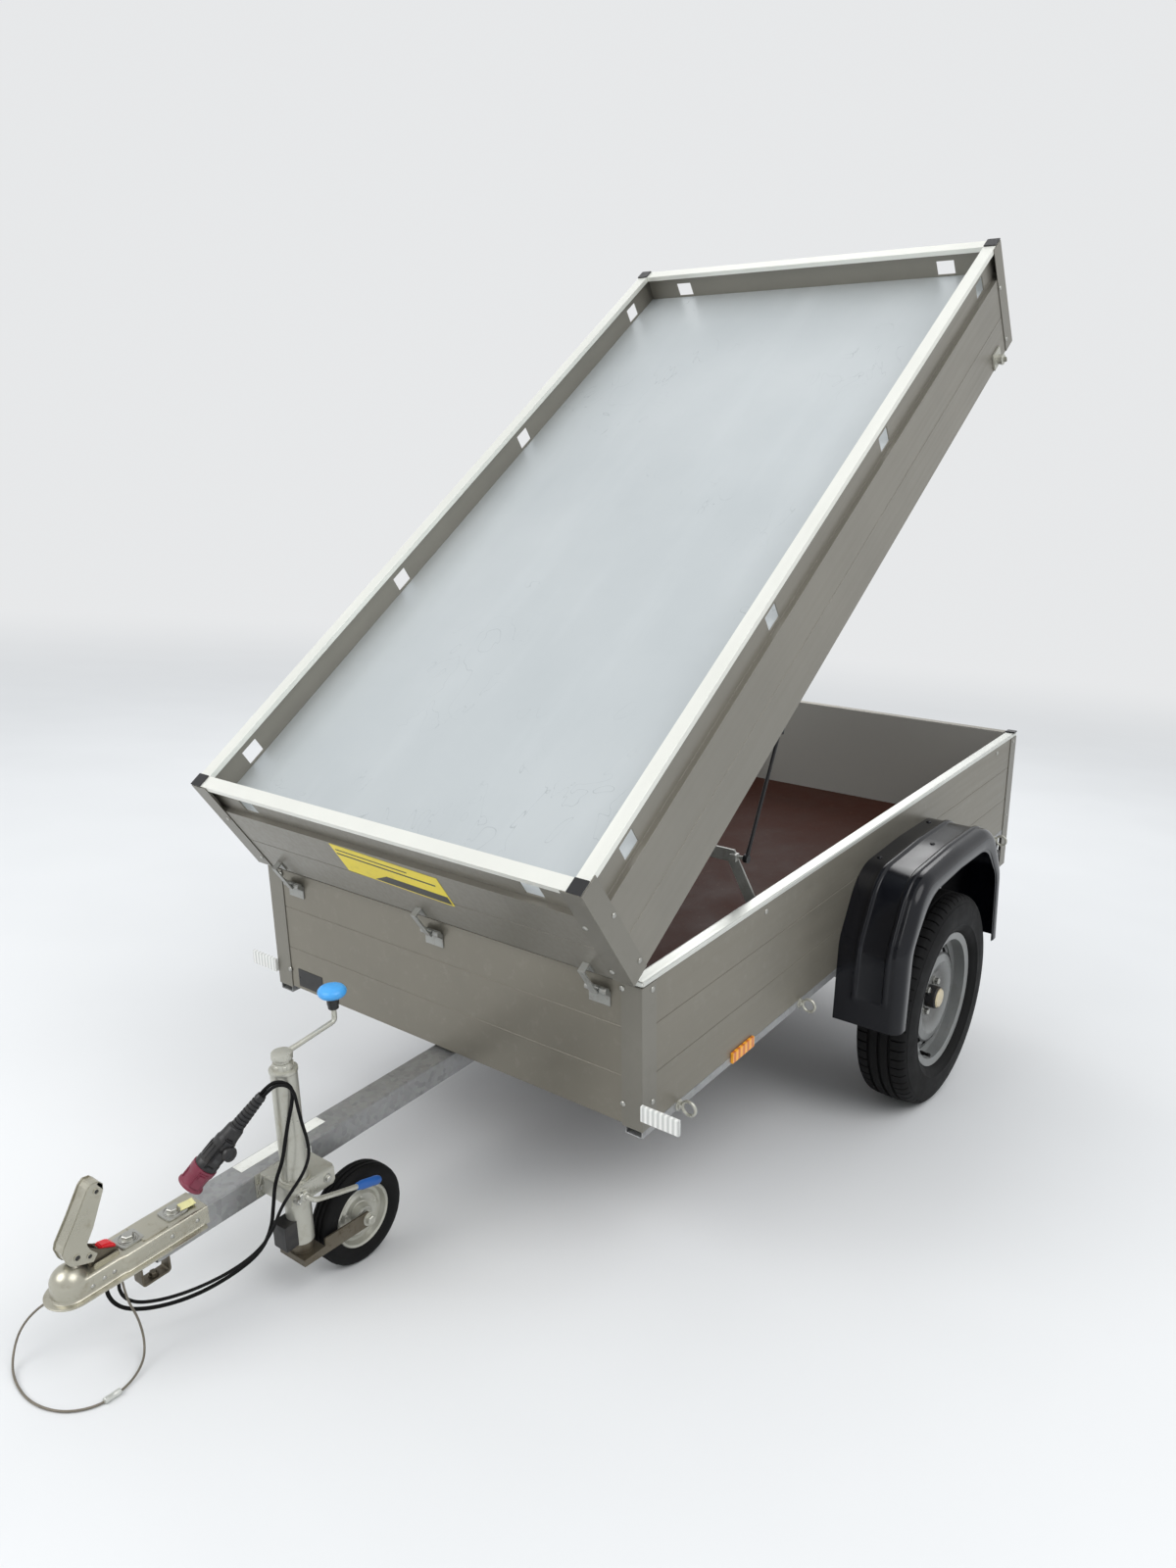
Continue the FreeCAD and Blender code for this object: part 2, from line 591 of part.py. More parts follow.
def tailgate():
    half = HALF_IN - TAILGATE_GAP
    x0 = -BOX_LENGTH
    x1 = x0 + PANEL
    low = BOX_BASE
    top = BOX_TOP
    panel = block(x0, x1, -half, half, low, top)
    panel = planked(panel, lambda z0, z1: block(x0 - 1, x0 + 1, -half - 1, half + 1, z0, z1))
    keep("tailgate_panel", panel)
    leaves = []
    seats = []
    for y in (-300.0, 300.0):
        leaf = block(x0 - 3, x0, y - 20, y + 20, low + 4, low + 60)
        web = block(TAILGATE_PIN.x - 2, x0 - 3, y - 20, y + 20, low + 2, low + 8)
        web = fused([leaf, web, rod(Vector(TAILGATE_PIN.x, y - 20, TAILGATE_PIN.z), LEFT, 7, 40),
                     block(TAILGATE_PIN.x - 4, TAILGATE_PIN.x + 4, y - 20, y + 20, TAILGATE_PIN.z, low + 8)])
        leaves.append(web.cut(rod(Vector(TAILGATE_PIN.x, y - 21, TAILGATE_PIN.z), LEFT, PIN_RADIUS + BEARING_GAP, 42)))
        pin = rod(Vector(TAILGATE_PIN.x, y - 34, TAILGATE_PIN.z), LEFT, PIN_RADIUS, 68)
        ears = []
        for ear_y in (y - 30, y + 21):
            ear = fused([rod(Vector(TAILGATE_PIN.x, ear_y, TAILGATE_PIN.z), LEFT, 7, 9),
                         block(TAILGATE_PIN.x, x0 + CROSS_INSET, ear_y, ear_y + 9, FRAME_LOW, TAILGATE_PIN.z + 2)])
            ears.append(ear)
        seats.append(fused(ears + [pin]))
    keep("tailgate_leaves", *leaves)
    keep("tailgate_hinges", *seats)


# Lid, modelled closed on the box and then swung open

def wall_section():
    """The lid wall's section as (inward, up) points: hollow lower wall, recessed channel and top flange."""
    outer = 0.0
    channel = LID_CHANNEL_DEPTH
    skin = LID_CHANNEL_SKIN
    rim_low = LID_HEIGHT - LID_RIM_HEIGHT
    return ((outer, 0), (LID_WALL, 0), (LID_WALL, LID_LOWER_WALL), (channel + skin, LID_LOWER_WALL),
            (channel + skin, rim_low), (LID_RIM_WIDTH, rim_low), (LID_RIM_WIDTH, LID_HEIGHT), (outer, LID_HEIGHT),
            (outer, rim_low), (channel, rim_low), (channel, LID_LOWER_WALL), (outer, LID_LOWER_WALL))


def window_cuts(places, side):
    cuts = []
    sheet = LID_TOP - LID_SHEET_DEPTH
    for place in places:
        low = sheet + 5
        if side == "left":
            cuts.append(block(place - WINDOW_LENGTH / 2, place + WINDOW_LENGTH / 2, HALF_OUT - LID_RIM_WIDTH,
                              HALF_OUT + 1, low, low + WINDOW_HEIGHT))
        else:
            cuts.append(block(side - LID_RIM_WIDTH, side + LID_RIM_WIDTH, place - WINDOW_LENGTH / 2,
                              place + WINDOW_LENGTH / 2, low, low + WINDOW_HEIGHT))
    return cuts


def lid_walls():
    section = wall_section()
    end = -BOX_LENGTH
    left = front_plate([(HALF_OUT - inward, LID_BASE + up) for inward, up in section], end, 0)
    groove = LID_BASE + LID_LOWER_WALL / 2
    left = left.cut(block(end - 1, 1, HALF_OUT - 1, HALF_OUT + 1, groove - GROOVE / 2, groove + GROOVE / 2))
    side_windows = [-BOX_LENGTH * share for share in SIDE_WINDOWS]
    for cut in window_cuts(side_windows, "left"):
        left = left.cut(cut)
    keep("lid_side_left", opened(left))
    keep("lid_side_right", opened(mirrored(left)))
    half = HALF_OUT - LID_RIM_WIDTH
    low_half = HALF_OUT - LID_WALL
    for name, face, inward_sign in (("lid_end_front", 0.0, -1), ("lid_end_rear", end, 1)):
        wall = side_plate([(face + inward_sign * inward, LID_BASE + up) for inward, up in section], -low_half, low_half)
        trim = block(face - LID_RIM_WIDTH - 1, face + LID_RIM_WIDTH + 1, half, HALF_OUT,
                     LID_TOP - LID_RIM_HEIGHT - 1, LID_TOP + 1)
        wall = wall.cut(trim).cut(mirrored(trim))
        wall = wall.cut(block(face - 1, face + 1, -half, half, groove - GROOVE / 2, groove + GROOVE / 2))
        for cut in window_cuts((-HALF_OUT * END_WINDOW, HALF_OUT * END_WINDOW), face):
            wall = wall.cut(cut)
        keep(name, opened(wall))


def lid_sheet():
    inset = LID_CHANNEL_DEPTH + LID_CHANNEL_SKIN
    top = LID_TOP - LID_SHEET_DEPTH
    sheet = block(-BOX_LENGTH + inset, -inset, -HALF_OUT + inset, HALF_OUT - inset, top - LID_SHEET, top)
    keep("lid_sheet", opened(sheet))


def lid_corners():
    """Angle profiles over the lid's corners, with black caps on the rim."""
    skin = POST_SKIN
    leg = POST_LEG
    angles = []
    caps = []
    for face, ahead in ((0.0, 1), (-BOX_LENGTH, -1)):
        outline = [(skin, HALF_OUT + skin), (skin, HALF_OUT - leg), (0, HALF_OUT - leg), (0, HALF_OUT),
                   (-leg, HALF_OUT), (-leg, HALF_OUT + skin)]
        angle = flat_plate([(face + ahead * x, y) for x, y in outline], LID_BASE, LID_TOP - 2)
        angles += [angle, mirrored(angle)]
        x0, x1 = sorted((face + ahead * skin, face - ahead * LID_RIM_WIDTH))
        cap = block(x0, x1, HALF_OUT - LID_RIM_WIDTH, HALF_OUT + skin, LID_TOP, LID_TOP + 3)
        caps += [cap, mirrored(cap)]
    keep("lid_posts", *[opened(angle) for angle in angles])
    keep("lid_caps", *[opened(cap) for cap in caps])


def hinges():
    """Three surface hinges on the front, with a raised strap on the lid and a pinned base on the panel."""
    straps = []
    bases = []
    third = HINGE_WIDTH / 3
    gap = 0.5
    reach = PIN.x + 10
    barrel = PIN_RADIUS + 3
    for y in HINGE_PLACES:
        y0 = y - HINGE_WIDTH / 2
        flange_z = LID_BASE + 28
        outline = ((0, flange_z - 22), (0, flange_z + 3), (reach, flange_z + 3), (reach, PIN.z), (reach - 3, PIN.z),
                   (reach - 3, flange_z), (3, flange_z), (3, flange_z - 22))
        strap = side_plate(outline, y0 + third + gap, y0 + 2 * third - gap)
        foot = block(PIN.x, reach, y0 + third + gap, y0 + 2 * third - gap, PIN.z - 3, PIN.z)
        strap = fused([strap, foot, rod(Vector(PIN.x, y0 + third + gap, PIN.z), LEFT, barrel, third - 2 * gap)])
        strap = strap.cut(rod(Vector(PIN.x, y0, PIN.z), LEFT, PIN_RADIUS + BEARING_GAP, HINGE_WIDTH))
        straps.append(opened(strap))
        plate = block(0, 3, y0, y0 + HINGE_WIDTH, PIN.z - 34, PIN.z - barrel - 1)
        parts = [plate, rod(Vector(PIN.x, y0, PIN.z), LEFT, PIN_RADIUS, HINGE_WIDTH)]
        for ear_y in (y0, y0 + 2 * third + gap):
            parts.append(rod(Vector(PIN.x, ear_y, PIN.z), LEFT, barrel, third - gap))
            parts.append(side_plate(((0, PIN.z - barrel - 8), (3, PIN.z - barrel - 8), (PIN.x + 4, PIN.z - 3),
                                     (PIN.x, PIN.z + 3), (0, PIN.z - 4)), ear_y, ear_y + third - gap))
        bases.append(fused(parts))
    keep("lid_brackets", *(straps + strut_pins()))
    keep("hinge_bases", *bases)


# Gas struts

def strut_places():
    """The strut's pin on the closed lid and on the opened lid."""
    closed = Vector(-STRUT_ON_LID, STRUT_SIDE, LID_BASE + STRUT_UP_LID)
    return closed, swung_point(closed, PIN, LEFT, LID_OPEN)


def strut_travel():
    """How far the rod slides out while the lid opens."""
    closed, head = strut_places()
    return (head - STRUT_FOOT).Length - (closed - STRUT_FOOT).Length


def struts():
    """A cylinder pinned to the lid and a rod that slides in it, with a socket beside the stud on the hoop."""
    closed, head = strut_places()
    down = (STRUT_FOOT - head).normalize()
    half = STRUT_EYE_WIDTH / 2
    mouth = head + down * (STRUT_EYE + CYLINDER_LENGTH)
    cylinder = rod(head + down * (STRUT_EYE + NECK_LENGTH), down, CYLINDER_RADIUS, CYLINDER_LENGTH - NECK_LENGTH)
    neck = rod(head + down * (STRUT_EYE - 2), down, NECK_RADIUS, NECK_LENGTH + 4)
    cylinder = fused([cylinder, neck, rod(head - LEFT * half, LEFT, STRUT_EYE, 2 * half)])
    depth = strut_travel() + ROD_OVERLAP + 10
    cylinder = cylinder.cut(rod(mouth - down * depth, down, ROD_RADIUS + ROD_GAP, depth + 1))
    cylinder = cylinder.cut(rod(head - LEFT * 2 * half, LEFT, STRUT_PIN_RADIUS + BEARING_GAP, 4 * half))
    keep("strut_cylinder_left", cylinder)
    keep("strut_cylinder_right", mirrored(cylinder))
    top = mouth - down * ROD_OVERLAP
    piston = rod(top, down, ROD_RADIUS, (STRUT_FOOT - top).Length)
    socket = rod(STRUT_FOOT - LEFT * half, LEFT, STRUT_EYE, 2 * half)
    neck = rod(STRUT_FOOT - down * (STRUT_EYE + 14), down, half - SOCKET_GAP, STRUT_EYE + 10)
    piston = fused([piston, neck, socket])
    keep("strut_rod_left", piston)
    keep("strut_rod_right", mirrored(piston))


def strut_pins():
    """The plates inside the lid's walls, with the pins that the cylinders turn on."""
    closed, head = strut_places()
    wall = HALF_OUT - LID_WALL
    half = STRUT_EYE_WIDTH / 2
    plate = block(closed.x - 22, closed.x + 22, wall - 3, wall, closed.z - 20, closed.z + 20)
    seat = STRUT_SIDE + half + 1
    shoulder = rod(Vector(closed.x, seat, closed.z), LEFT, STRUT_PIN_RADIUS + 4, wall - seat)
    pin = rod(Vector(closed.x, STRUT_SIDE - half - 3, closed.z), LEFT, STRUT_PIN_RADIUS, wall - STRUT_SIDE + half + 3)
    bracket = opened(fused([plate, shoulder, pin]))
    return [bracket, mirrored(bracket)]


def hoop():
    """A flat bar over the load space, bolted inside both side panels, with a ball stud outside each knee."""
    x0 = -HOOP_BACK - HOOP_THICK / 2
    x1 = x0 + HOOP_THICK
    top = STRUT_FOOT.z + HOOP_BAR / 2
    low = BOX_TOP - HOOP_FOOT_HEIGHT
    bend = BOX_TOP - HOOP_BEND_DROP
    out = HALF_IN
    bar = HOOP_BAR
    half = [(out, low), (out, bend), (HOOP_KNEE, top)]
    inside = [(HOOP_KNEE - bar / 2, top - bar), (out - bar, bend - 4), (out - bar, low)]
    outline = half + [(-y, z) for y, z in reversed(half)] + [(-y, z) for y, z in reversed(inside)] + inside
    parts = [front_plate(outline, x0, x1)]
    face = STRUT_SIDE - STRUT_EYE_WIDTH / 2 - SOCKET_GAP
    for turn in (lambda shape: shape, mirrored):
        boss = block(x0, x0 + HOOP_BOSS, HOOP_KNEE - 6, HOOP_KNEE + 10, STRUT_FOOT.z - HOOP_BOSS / 2,
                     STRUT_FOOT.z + HOOP_BOSS / 2)
        stud = rod(Vector(STRUT_FOOT.x, HOOP_KNEE, STRUT_FOOT.z), LEFT, STRUT_PIN_RADIUS, face - HOOP_KNEE)
        foot = block(x0 - 30, x1, out - HOOP_THICK, out, low, bend - 2)
        parts += [turn(boss), turn(stud), turn(foot)]
    keep("strut_hoop", fused(parts))


# Jockey wheel

def clamp_bracket():
    """A bent plate beside the drawbar that is open below, with a sleeve round the jockey wheel's tube."""
    skin = CLAMP_SKIN
    side = DRAWBAR_WIDTH / 2
    x0, x1 = [JOCKEY.x + place for place in CLAMP_SPAN]
    top = DRAWBAR_TOP + skin
    low = top - CLAMP_FLANGE
    shell = block(x0, x1, side, side + CLAMP_DEPTH, low, top)
    shell = shell.cut(block(x0 - 1, x1 + 1, side + skin, side + CLAMP_DEPTH - skin, low - 1, top - skin))
    tube = JOCKEY_TUBE_RADIUS
    foot = Vector(JOCKEY.x, JOCKEY.y, low - CLAMP_PLATE)
    sleeve = rod(foot, UP, tube + skin, top - foot.z)
    plate = block(x0 + 20, x1 + CLAMP_PLATE, side, side + skin, low - CLAMP_PLATE, top)
    whole = fused([shell, sleeve, plate])
    return whole.cut(rod(foot - UP, UP, tube + JOCKEY_SLIDE_GAP, top - foot.z + 2))


def jockey():
    axis = JOCKEY
    outer = JOCKEY_TUBE_RADIUS
    inner = outer - JOCKEY_TUBE_WALL
    length = JOCKEY_TUBE_TOP - JOCKEY_TUBE_FOOT
    tube = rod(axis, UP, outer, length).cut(rod(axis - UP, UP, inner, length - 20))
    top = Vector(axis.x, axis.y, JOCKEY_TUBE_TOP)
    collar = JOCKEY_COLLAR
    head = fused([tube, rod(top - UP * 4, UP, outer + 1.5, 6)])
    head = head.cut(rod(axis - UP, UP, inner, length - 20))
    keep("jockey_tube", head)
    cap = turned(((0, 2), (outer - 3, 2), (outer - 3, collar - 13), (outer - 7, collar - 10), (outer - 7, collar - 6),
                  (outer - 4, collar - 4), (outer - 4, collar), (0, collar)), top, UP)
    arm_start = top + Vector(-outer / 2, 0, collar - LEVER_RADIUS)
    elbow = top + Vector(-CRANK_REACH, 0, collar - LEVER_RADIUS + CRANK_RISE)
    arm = rod(arm_start, elbow - arm_start, LEVER_RADIUS, (elbow - arm_start).Length)
    joint = Part.makeSphere(LEVER_RADIUS, elbow)
    post = rod(elbow, UP, LEVER_RADIUS, CRANK_POST)
    keep("jockey_crank", fused([cap, arm, joint, post]))
    knob = turned(((0, 0), (10, 0), (12, 20), (KNOB_RADIUS - 4, 25), (KNOB_RADIUS, 31), (KNOB_RADIUS - 4, 37),
                   (KNOB_RADIUS - 12, 41), (0, 42)), elbow + UP * (CRANK_POST - 24), UP)
    knob = knob.cut(rod(elbow, UP, LEVER_RADIUS, CRANK_POST))
    keep("jockey_clamp", clamp_bracket())
    line = [axis + Vector(x, y, DRAWBAR_TOP - JOCKEY_TUBE_FOOT + z) for x, y, z in LEVER_LINE]
    pieces = []
    for start, end in zip(line, line[1:]):
        pieces.append(rod(start, end - start, LEVER_RADIUS, (end - start).Length))
    for corner in line[1:-1]:
        pieces.append(Part.makeSphere(LEVER_RADIUS, corner))
    lever = fused(pieces)
    along = (line[-1] - line[-2]).normalize()
    grip = rod(line[-1] - along * 10, along, LEVER_GRIP, 56).cut(rod(line[-1] - along * 30, along, LEVER_RADIUS, 30))
    keep("jockey_lever", lever)
    keep("jockey_grips", knob, grip)
    slide = inner - JOCKEY_SLIDE_GAP
    leg = rod(Vector(axis.x, axis.y, JOCKEY_TUBE_FOOT - 22), UP, slide, 262).cut(
        rod(Vector(axis.x, axis.y, JOCKEY_TUBE_FOOT - 23), UP, slide - 3, 264))
    fork = []
    hub_half = JOCKEY_WHEEL_WIDTH / 2
    arm_in = hub_half + 6
    arm_thick = 4
    z0 = JOCKEY_TUBE_FOOT - 34
    fork.append(block(axis.x - 25, axis.x + 25, axis.y - arm_in - arm_thick, axis.y + arm_in + arm_thick, z0, z0 + 14))
    for sign in (-1, 1):
        y0, y1 = sorted((axis.y + sign * arm_in, axis.y + sign * (arm_in + arm_thick)))
        arm = side_plate(((axis.x + 25, z0 + 14), (axis.x + 25, z0), (JOCKEY_WHEEL.x, JOCKEY_WHEEL.z - 16),
                          (JOCKEY_WHEEL.x - 14, JOCKEY_WHEEL.z), (JOCKEY_WHEEL.x, JOCKEY_WHEEL.z + 16),
                          (axis.x - 25, z0 + 30), (axis.x - 25, z0 + 14)), y0, y1)
        fork.append(arm)
    shaft_half = arm_in + arm_thick + 6
    fork.append(rod(Vector(JOCKEY_WHEEL.x, JOCKEY_WHEEL.y - shaft_half, JOCKEY_WHEEL.z), LEFT, 6, 2 * shaft_half))
    keep("jockey_leg", fused([leg] + fork))
    bead = JOCKEY_WHEEL_RADIUS * 0.62
    rubber = tyre(JOCKEY_WHEEL, JOCKEY_WHEEL_RADIUS, JOCKEY_WHEEL_WIDTH, bead, JOCKEY_WHEEL_WIDTH * 0.35, 2)
    keep("jockey_tyre", rubber)
    half = JOCKEY_WHEEL_WIDTH / 2
    keep("jockey_rim", turned(((bead, -half * 0.7), (bead, half * 0.7), (bead - 4, half * 0.74), (bead - 8, 6),
                               (24, 4), (20, half - 2), (6 + BEARING_GAP, half - 2), (6 + BEARING_GAP, -half + 2),
                               (20, -half + 2), (24, -4), (bead - 8, -6), (bead - 4, -half * 0.74)),
                              JOCKEY_WHEEL, LEFT))


# Coupling

def edged(x0, x1, half, low, top):
    """A block along the drawbar whose two upper edges are rounded."""
    body = block(x0, x1, -half, half, low, top)
    edges = []
    for edge in body.Edges:
        places = [vertex.Point for vertex in edge.Vertexes]
        if all(abs(place.z - top) < 0.01 for place in places) and abs(places[0].y - places[1].y) < 0.01:
            edges.append(edge)
    return body.makeFillet(COUPLING_EDGE, edges)


def coupling():
    """A pressed channel over the drawbar's nose that narrows before the ball's dome, with a lip all round."""
    half = DRAWBAR_WIDTH / 2
    skin = COUPLING_SKIN
    ball = Vector(BALL_AHEAD, 0, BALL_Z)
    low = DRAWBAR_LOW + COUPLING_OPEN
    top = DRAWBAR_TOP + skin
    wide = half + skin
    nose = COUPLING_NOSE
    step = COUPLING_REAR + COUPLING_STEP
    lip = COUPLING_LIP
    channel = edged(COUPLING_REAR, step, wide, low, top)
    front = edged(step - 10, BALL_AHEAD, nose, low, top)
    edge = fused([block(COUPLING_REAR + 10, step, -wide - lip, wide + lip, low, low + 3),
                  flat_plate(((step, wide + lip), (step, -wide - lip), (BALL_AHEAD, -nose - lip),
                              (BALL_AHEAD, nose + lip)), low, low + 3),
                  rod(Vector(BALL_AHEAD, 0, low), UP, nose + lip, 3)])
    dome_radius = BALL_RADIUS + skin
    head = rod(Vector(BALL_AHEAD, 0, low), UP, nose, BALL_Z - low)
    dome = Part.makeSphere(dome_radius, ball)
    dome = dome.cut(block(BALL_AHEAD - 60, BALL_AHEAD + 60, -60, 60, low - 60, low))
    flat = wide - COUPLING_EDGE
    x0, x1 = [COUPLING_REAR + place for place in COUPLING_PLATFORM]
    raised = [block(x0, x1, -flat, flat, top - 1, top + 2)]
    x0, x1 = [COUPLING_REAR + place for place in COUPLING_SLOT]
    for y in (-18, 15):
        raised.append(block(x0, x1, y, y + 3, top - 1, top + 6))
    whole = fused([channel, front, edge, head, dome] + raised)
    inside = nose - skin
    whole = whole.cut(block(COUPLING_REAR - 1, step, -half, half, low - 1, DRAWBAR_TOP))
    whole = whole.cut(block(step - 1, BALL_AHEAD - dome_radius - 2, -inside, inside, low - 1, DRAWBAR_TOP))
    whole = whole.cut(Part.makeSphere(BALL_RADIUS, ball))
    whole = whole.cut(rod(Vector(BALL_AHEAD, 0, low - 1), UP, BALL_RADIUS, BALL_Z - low + 1))
    bolts = []
    for inset in COUPLING_BOLT_INSETS:
        x = COUPLING_REAR + inset
        bolts.append(block(x - 21, x + 21, -19, 19, top - 1, top + 3))
        bolts.append(rod(Vector(x, 0, top + 2), UP, 10, COUPLING_BOLT_HEAD + 1))
    keep("coupling_body", fused([whole] + bolts))
    keep("coupling_handle", coupling_handle(ball, dome_radius, top))
    x0, x1 = [COUPLING_REAR + place for place in STRAP_PLACE]
    inside = STRAP_SKIN
    strap = block(x0, x1, -STRAP_WIDTH / 2, STRAP_WIDTH / 2, DRAWBAR_LOW - STRAP_DROP, DRAWBAR_LOW)
    strap = strap.cut(block(x0 + inside, x1 - inside, -STRAP_WIDTH, STRAP_WIDTH, DRAWBAR_LOW - STRAP_DROP + inside,
                            DRAWBAR_LOW - inside))
    keep("coupling_bracket", strap)


def coupling_handle(ball, dome_radius, top):
    """The lever that opens the coupling: two pressed cheeks joined along their front edge, on a link plate."""
    half = HANDLE_WIDTH / 2
    skin = HANDLE_SKIN
    outline = [(ball.x + ahead, ball.z + up) for ahead, up in HANDLE_OUTLINE]
    lever = side_plate(outline, -half, half)
    hollow = side_plate([(x - skin, z) for x, z in outline], -half + skin, half - skin)
    link = side_plate(((ball.x - 82, top), (ball.x - 32, top), (ball.x - 22, ball.z + 40), (ball.x - 30, ball.z + 50),
                       (ball.x - 50, ball.z + 34), (ball.x - 82, top + 8)), -half + 3, half - 3)
    whole = fused([lever.cut(hollow), link])
    whole = whole.cut(block(ball.x - 100, ball.x + 20, -half - 1, half + 1, top - 20, top))
    return whole.cut(Part.makeSphere(dome_radius + CABLE_SEAT_GAP, ball))


# Cables

def cord_tube(name, route, radius):
    """A tube along straight runs joined by tangent arcs, each arc as large as its two runs allow."""
    points = [Vector(*point) for point in route]
    edges = []
    at = points[0]
    radii = []
    for before, corner, after in zip(points, points[1:], points[2:]):
        back = before - corner
        on = after - corner
        shorter = min(back.Length, on.Length)
        back.normalize()
        on.normalize()
        half_turn = (math.pi - back.getAngle(on)) / 2
        reach = 0.45 * shorter
        bend = reach / math.tan(half_turn)
        radii.append(round(bend, 1))
        middle = (back + on).normalize()
        centre = corner + middle * (bend / math.cos(half_turn))
        edges.append(Part.LineSegment(at, corner + back * reach).toShape())
        edges.append(Part.Arc(corner + back * reach, centre - middle * bend, corner + on * reach).toShape())
        at = corner + on * reach
    edges.append(Part.LineSegment(at, points[-1]).toShape())
    spine = Part.Wire(edges)
    section = Part.Wire(Part.makeCircle(radius, points[0], points[1] - points[0]))
    tube = spine.makePipeShell([section], True, False)
    length = spine.Length
    print(name, "length", round(length, 1), "radii", radii)
    print(name, "volume over section times length", round(tube.Volume / (math.pi * radius ** 2 * length), 4))
    keep(name, tube)


def on_floor(x, y, height):
    """A point at a height over the floor that the parked trailer stands on, in the level frame."""
    tilt = math.radians(stance_angle())
    return (x, y, WHEEL.z + ((x - WHEEL.x) * math.sin(tilt) - TYRE_RADIUS + height) / math.cos(tilt))


def plug_axis():
    return (PLUG_BOOT - PLUG_FACE).normalize()


def plug():
    """The trailer plug: a red cap over its face, a moulded body with a side lug, and a tapered boot."""
    axis = plug_axis()
    length = (PLUG_BOOT - PLUG_FACE).Length

    def section(start, finish, wide_at_start, wide_at_finish):
        at = PLUG_FACE + axis * start
        if wide_at_start == wide_at_finish:
            return rod(at, axis, wide_at_start, finish - start)
        return Part.makeCone(wide_at_start, wide_at_finish, finish - start, at, axis)

    cap = fused([section(0, 6, 24, 24), section(6, 44, 20, 23)])
    keep("plug_cap", cap)
    body = [section(44, 100, 21, 21), section(100, 116, 21, 13), section(116, length, 13, 9)]
    lug_at = PLUG_FACE + axis * 76 + Vector(0, 30, 0)
    lug = rod(lug_at - Vector(0, 12, 0), Vector(0, 1, 0), 9, 16)
    keep("plug_body", fused(body + [lug]))


def from_mouth(mouth, route):
    return [tuple(mouth + Vector(*step)) for step in route]


def cables():
    """Two harness cables from the drawbar's mouth to the plug, and the safety cable's loop on the floor."""
    axis = plug_axis()
    side = (LEFT - axis * LEFT.dot(axis)).normalize()
    mouth = Vector(DRAWBAR_NOSE, 0, (DRAWBAR_TOP + DRAWBAR_LOW) / 2)
    first = PLUG_BOOT - side * BOOT_PITCH
    second = PLUG_BOOT + side * BOOT_PITCH
    lower = from_mouth(mouth, LOWER_ROUTE) + [tuple(first + axis * BOOT_RUN), tuple(first)]
    upper = from_mouth(mouth, UPPER_ROUTE) + [tuple(second + axis * BOOT_RUN), tuple(second)]
    cord_tube("harness_cable_lower", lower, HARNESS_RADII[0])
    cord_tube("harness_cable_upper", upper, HARNESS_RADII[1])
    low = DRAWBAR_LOW + COUPLING_OPEN - CABLE_SEAT_GAP
    lie = SAFETY_RADIUS + 1.2
    safety = [(790, 36, low), (788, 36, 402), (771, 32, 350), on_floor(768, 36, 22), on_floor(792, 66, lie + 4),
              on_floor(838, 92, lie), on_floor(894, 98, lie), on_floor(938, 68, lie), on_floor(957, 14, lie),
              on_floor(951, -44, lie), on_floor(932, -92, lie + 5), (903, -112, 344), (874, -92, 380), (852, -58, 404),
              (847, -38, 424), (846, -36, low)]
    cord_tube("safety_cable", safety, SAFETY_RADIUS)
    grommet = block(mouth.x - GROMMET, mouth.x, -DRAWBAR_WIDTH / 2 + DRAWBAR_WALL,
                    DRAWBAR_WIDTH / 2 - DRAWBAR_WALL, DRAWBAR_LOW + DRAWBAR_WALL, DRAWBAR_TOP - DRAWBAR_WALL)
    holder = block(JOCKEY.x, JOCKEY.x + JOCKEY_TUBE_RADIUS + 22, JOCKEY.y - 20, JOCKEY.y + 16, JOCKEY_TUBE_FOOT + 2,
                   JOCKEY_TUBE_FOOT + 54)
    holder = holder.cut(rod(JOCKEY, UP, JOCKEY_TUBE_RADIUS + 0.2, 80))
    keep("cable_holders", grommet, holder)


# Fittings on the box

def lashing_ring(centre):
    """A ring in the Y and Z plane whose bar has eight sides."""
    section = []
    for i in range(RING_SIDES):
        angle = 2 * math.pi * (i + 0.5) / RING_SIDES
        section.append(centre + Vector(RING_BAR * math.cos(angle), RING_RADIUS + RING_BAR * math.sin(angle), 0))
    face = Part.Face(Part.makePolygon(section + section[:1]))
    return face.revolve(centre, AHEAD, 360)


def fittings():
    rings = []
    for x in RING_PLACES:
        centre = Vector(x, HALF_OUT + 24, FRAME_LOW + 10)
        ring = lashing_ring(centre)
        shank = rod(Vector(x, HALF_OUT, centre.z), LEFT, 4, 11)
        eye = fused([ring, shank])
        rings += [eye, mirrored(eye)]
    keep("lashing_rings", *rings)
    marker = block(POST_SKIN, POST_SKIN + 8, HALF_OUT + POST_SKIN, HALF_OUT + 88, BOX_BASE + 26, BOX_BASE + 60)
    foot = block(-14, POST_SKIN, HALF_OUT + POST_SKIN, HALF_OUT + POST_SKIN + 18, BOX_BASE + 26, BOX_BASE + 44)
    marker = fused([marker, foot])
    keep("front_markers", marker, mirrored(marker))
    reflectors = []
    for x in REFLECTOR_PLACES:
        reflector = block(x - 45, x + 45, HALF_OUT, HALF_OUT + 7, FRAME_LOW + 5, FRAME_LOW + 30)
        reflectors += [reflector, mirrored(reflector)]
    keep("side_reflectors", *reflectors)
    back = -BOX_LENGTH
    carrier = hollow_bar(back + 20, back + 50, -HALF_OUT, HALF_OUT, FRAME_LOW - 90, FRAME_LOW - 60, 3.0, 1)
    keep("lamp_bar", carrier)
    lamp = block(back - 4, back + 20, HALF_IN - 206, HALF_IN + 2, FRAME_LOW - 106, FRAME_LOW - 20)
    keep("tail_lamps", lamp, mirrored(lamp))


# Placing the finished trailer on its wheels

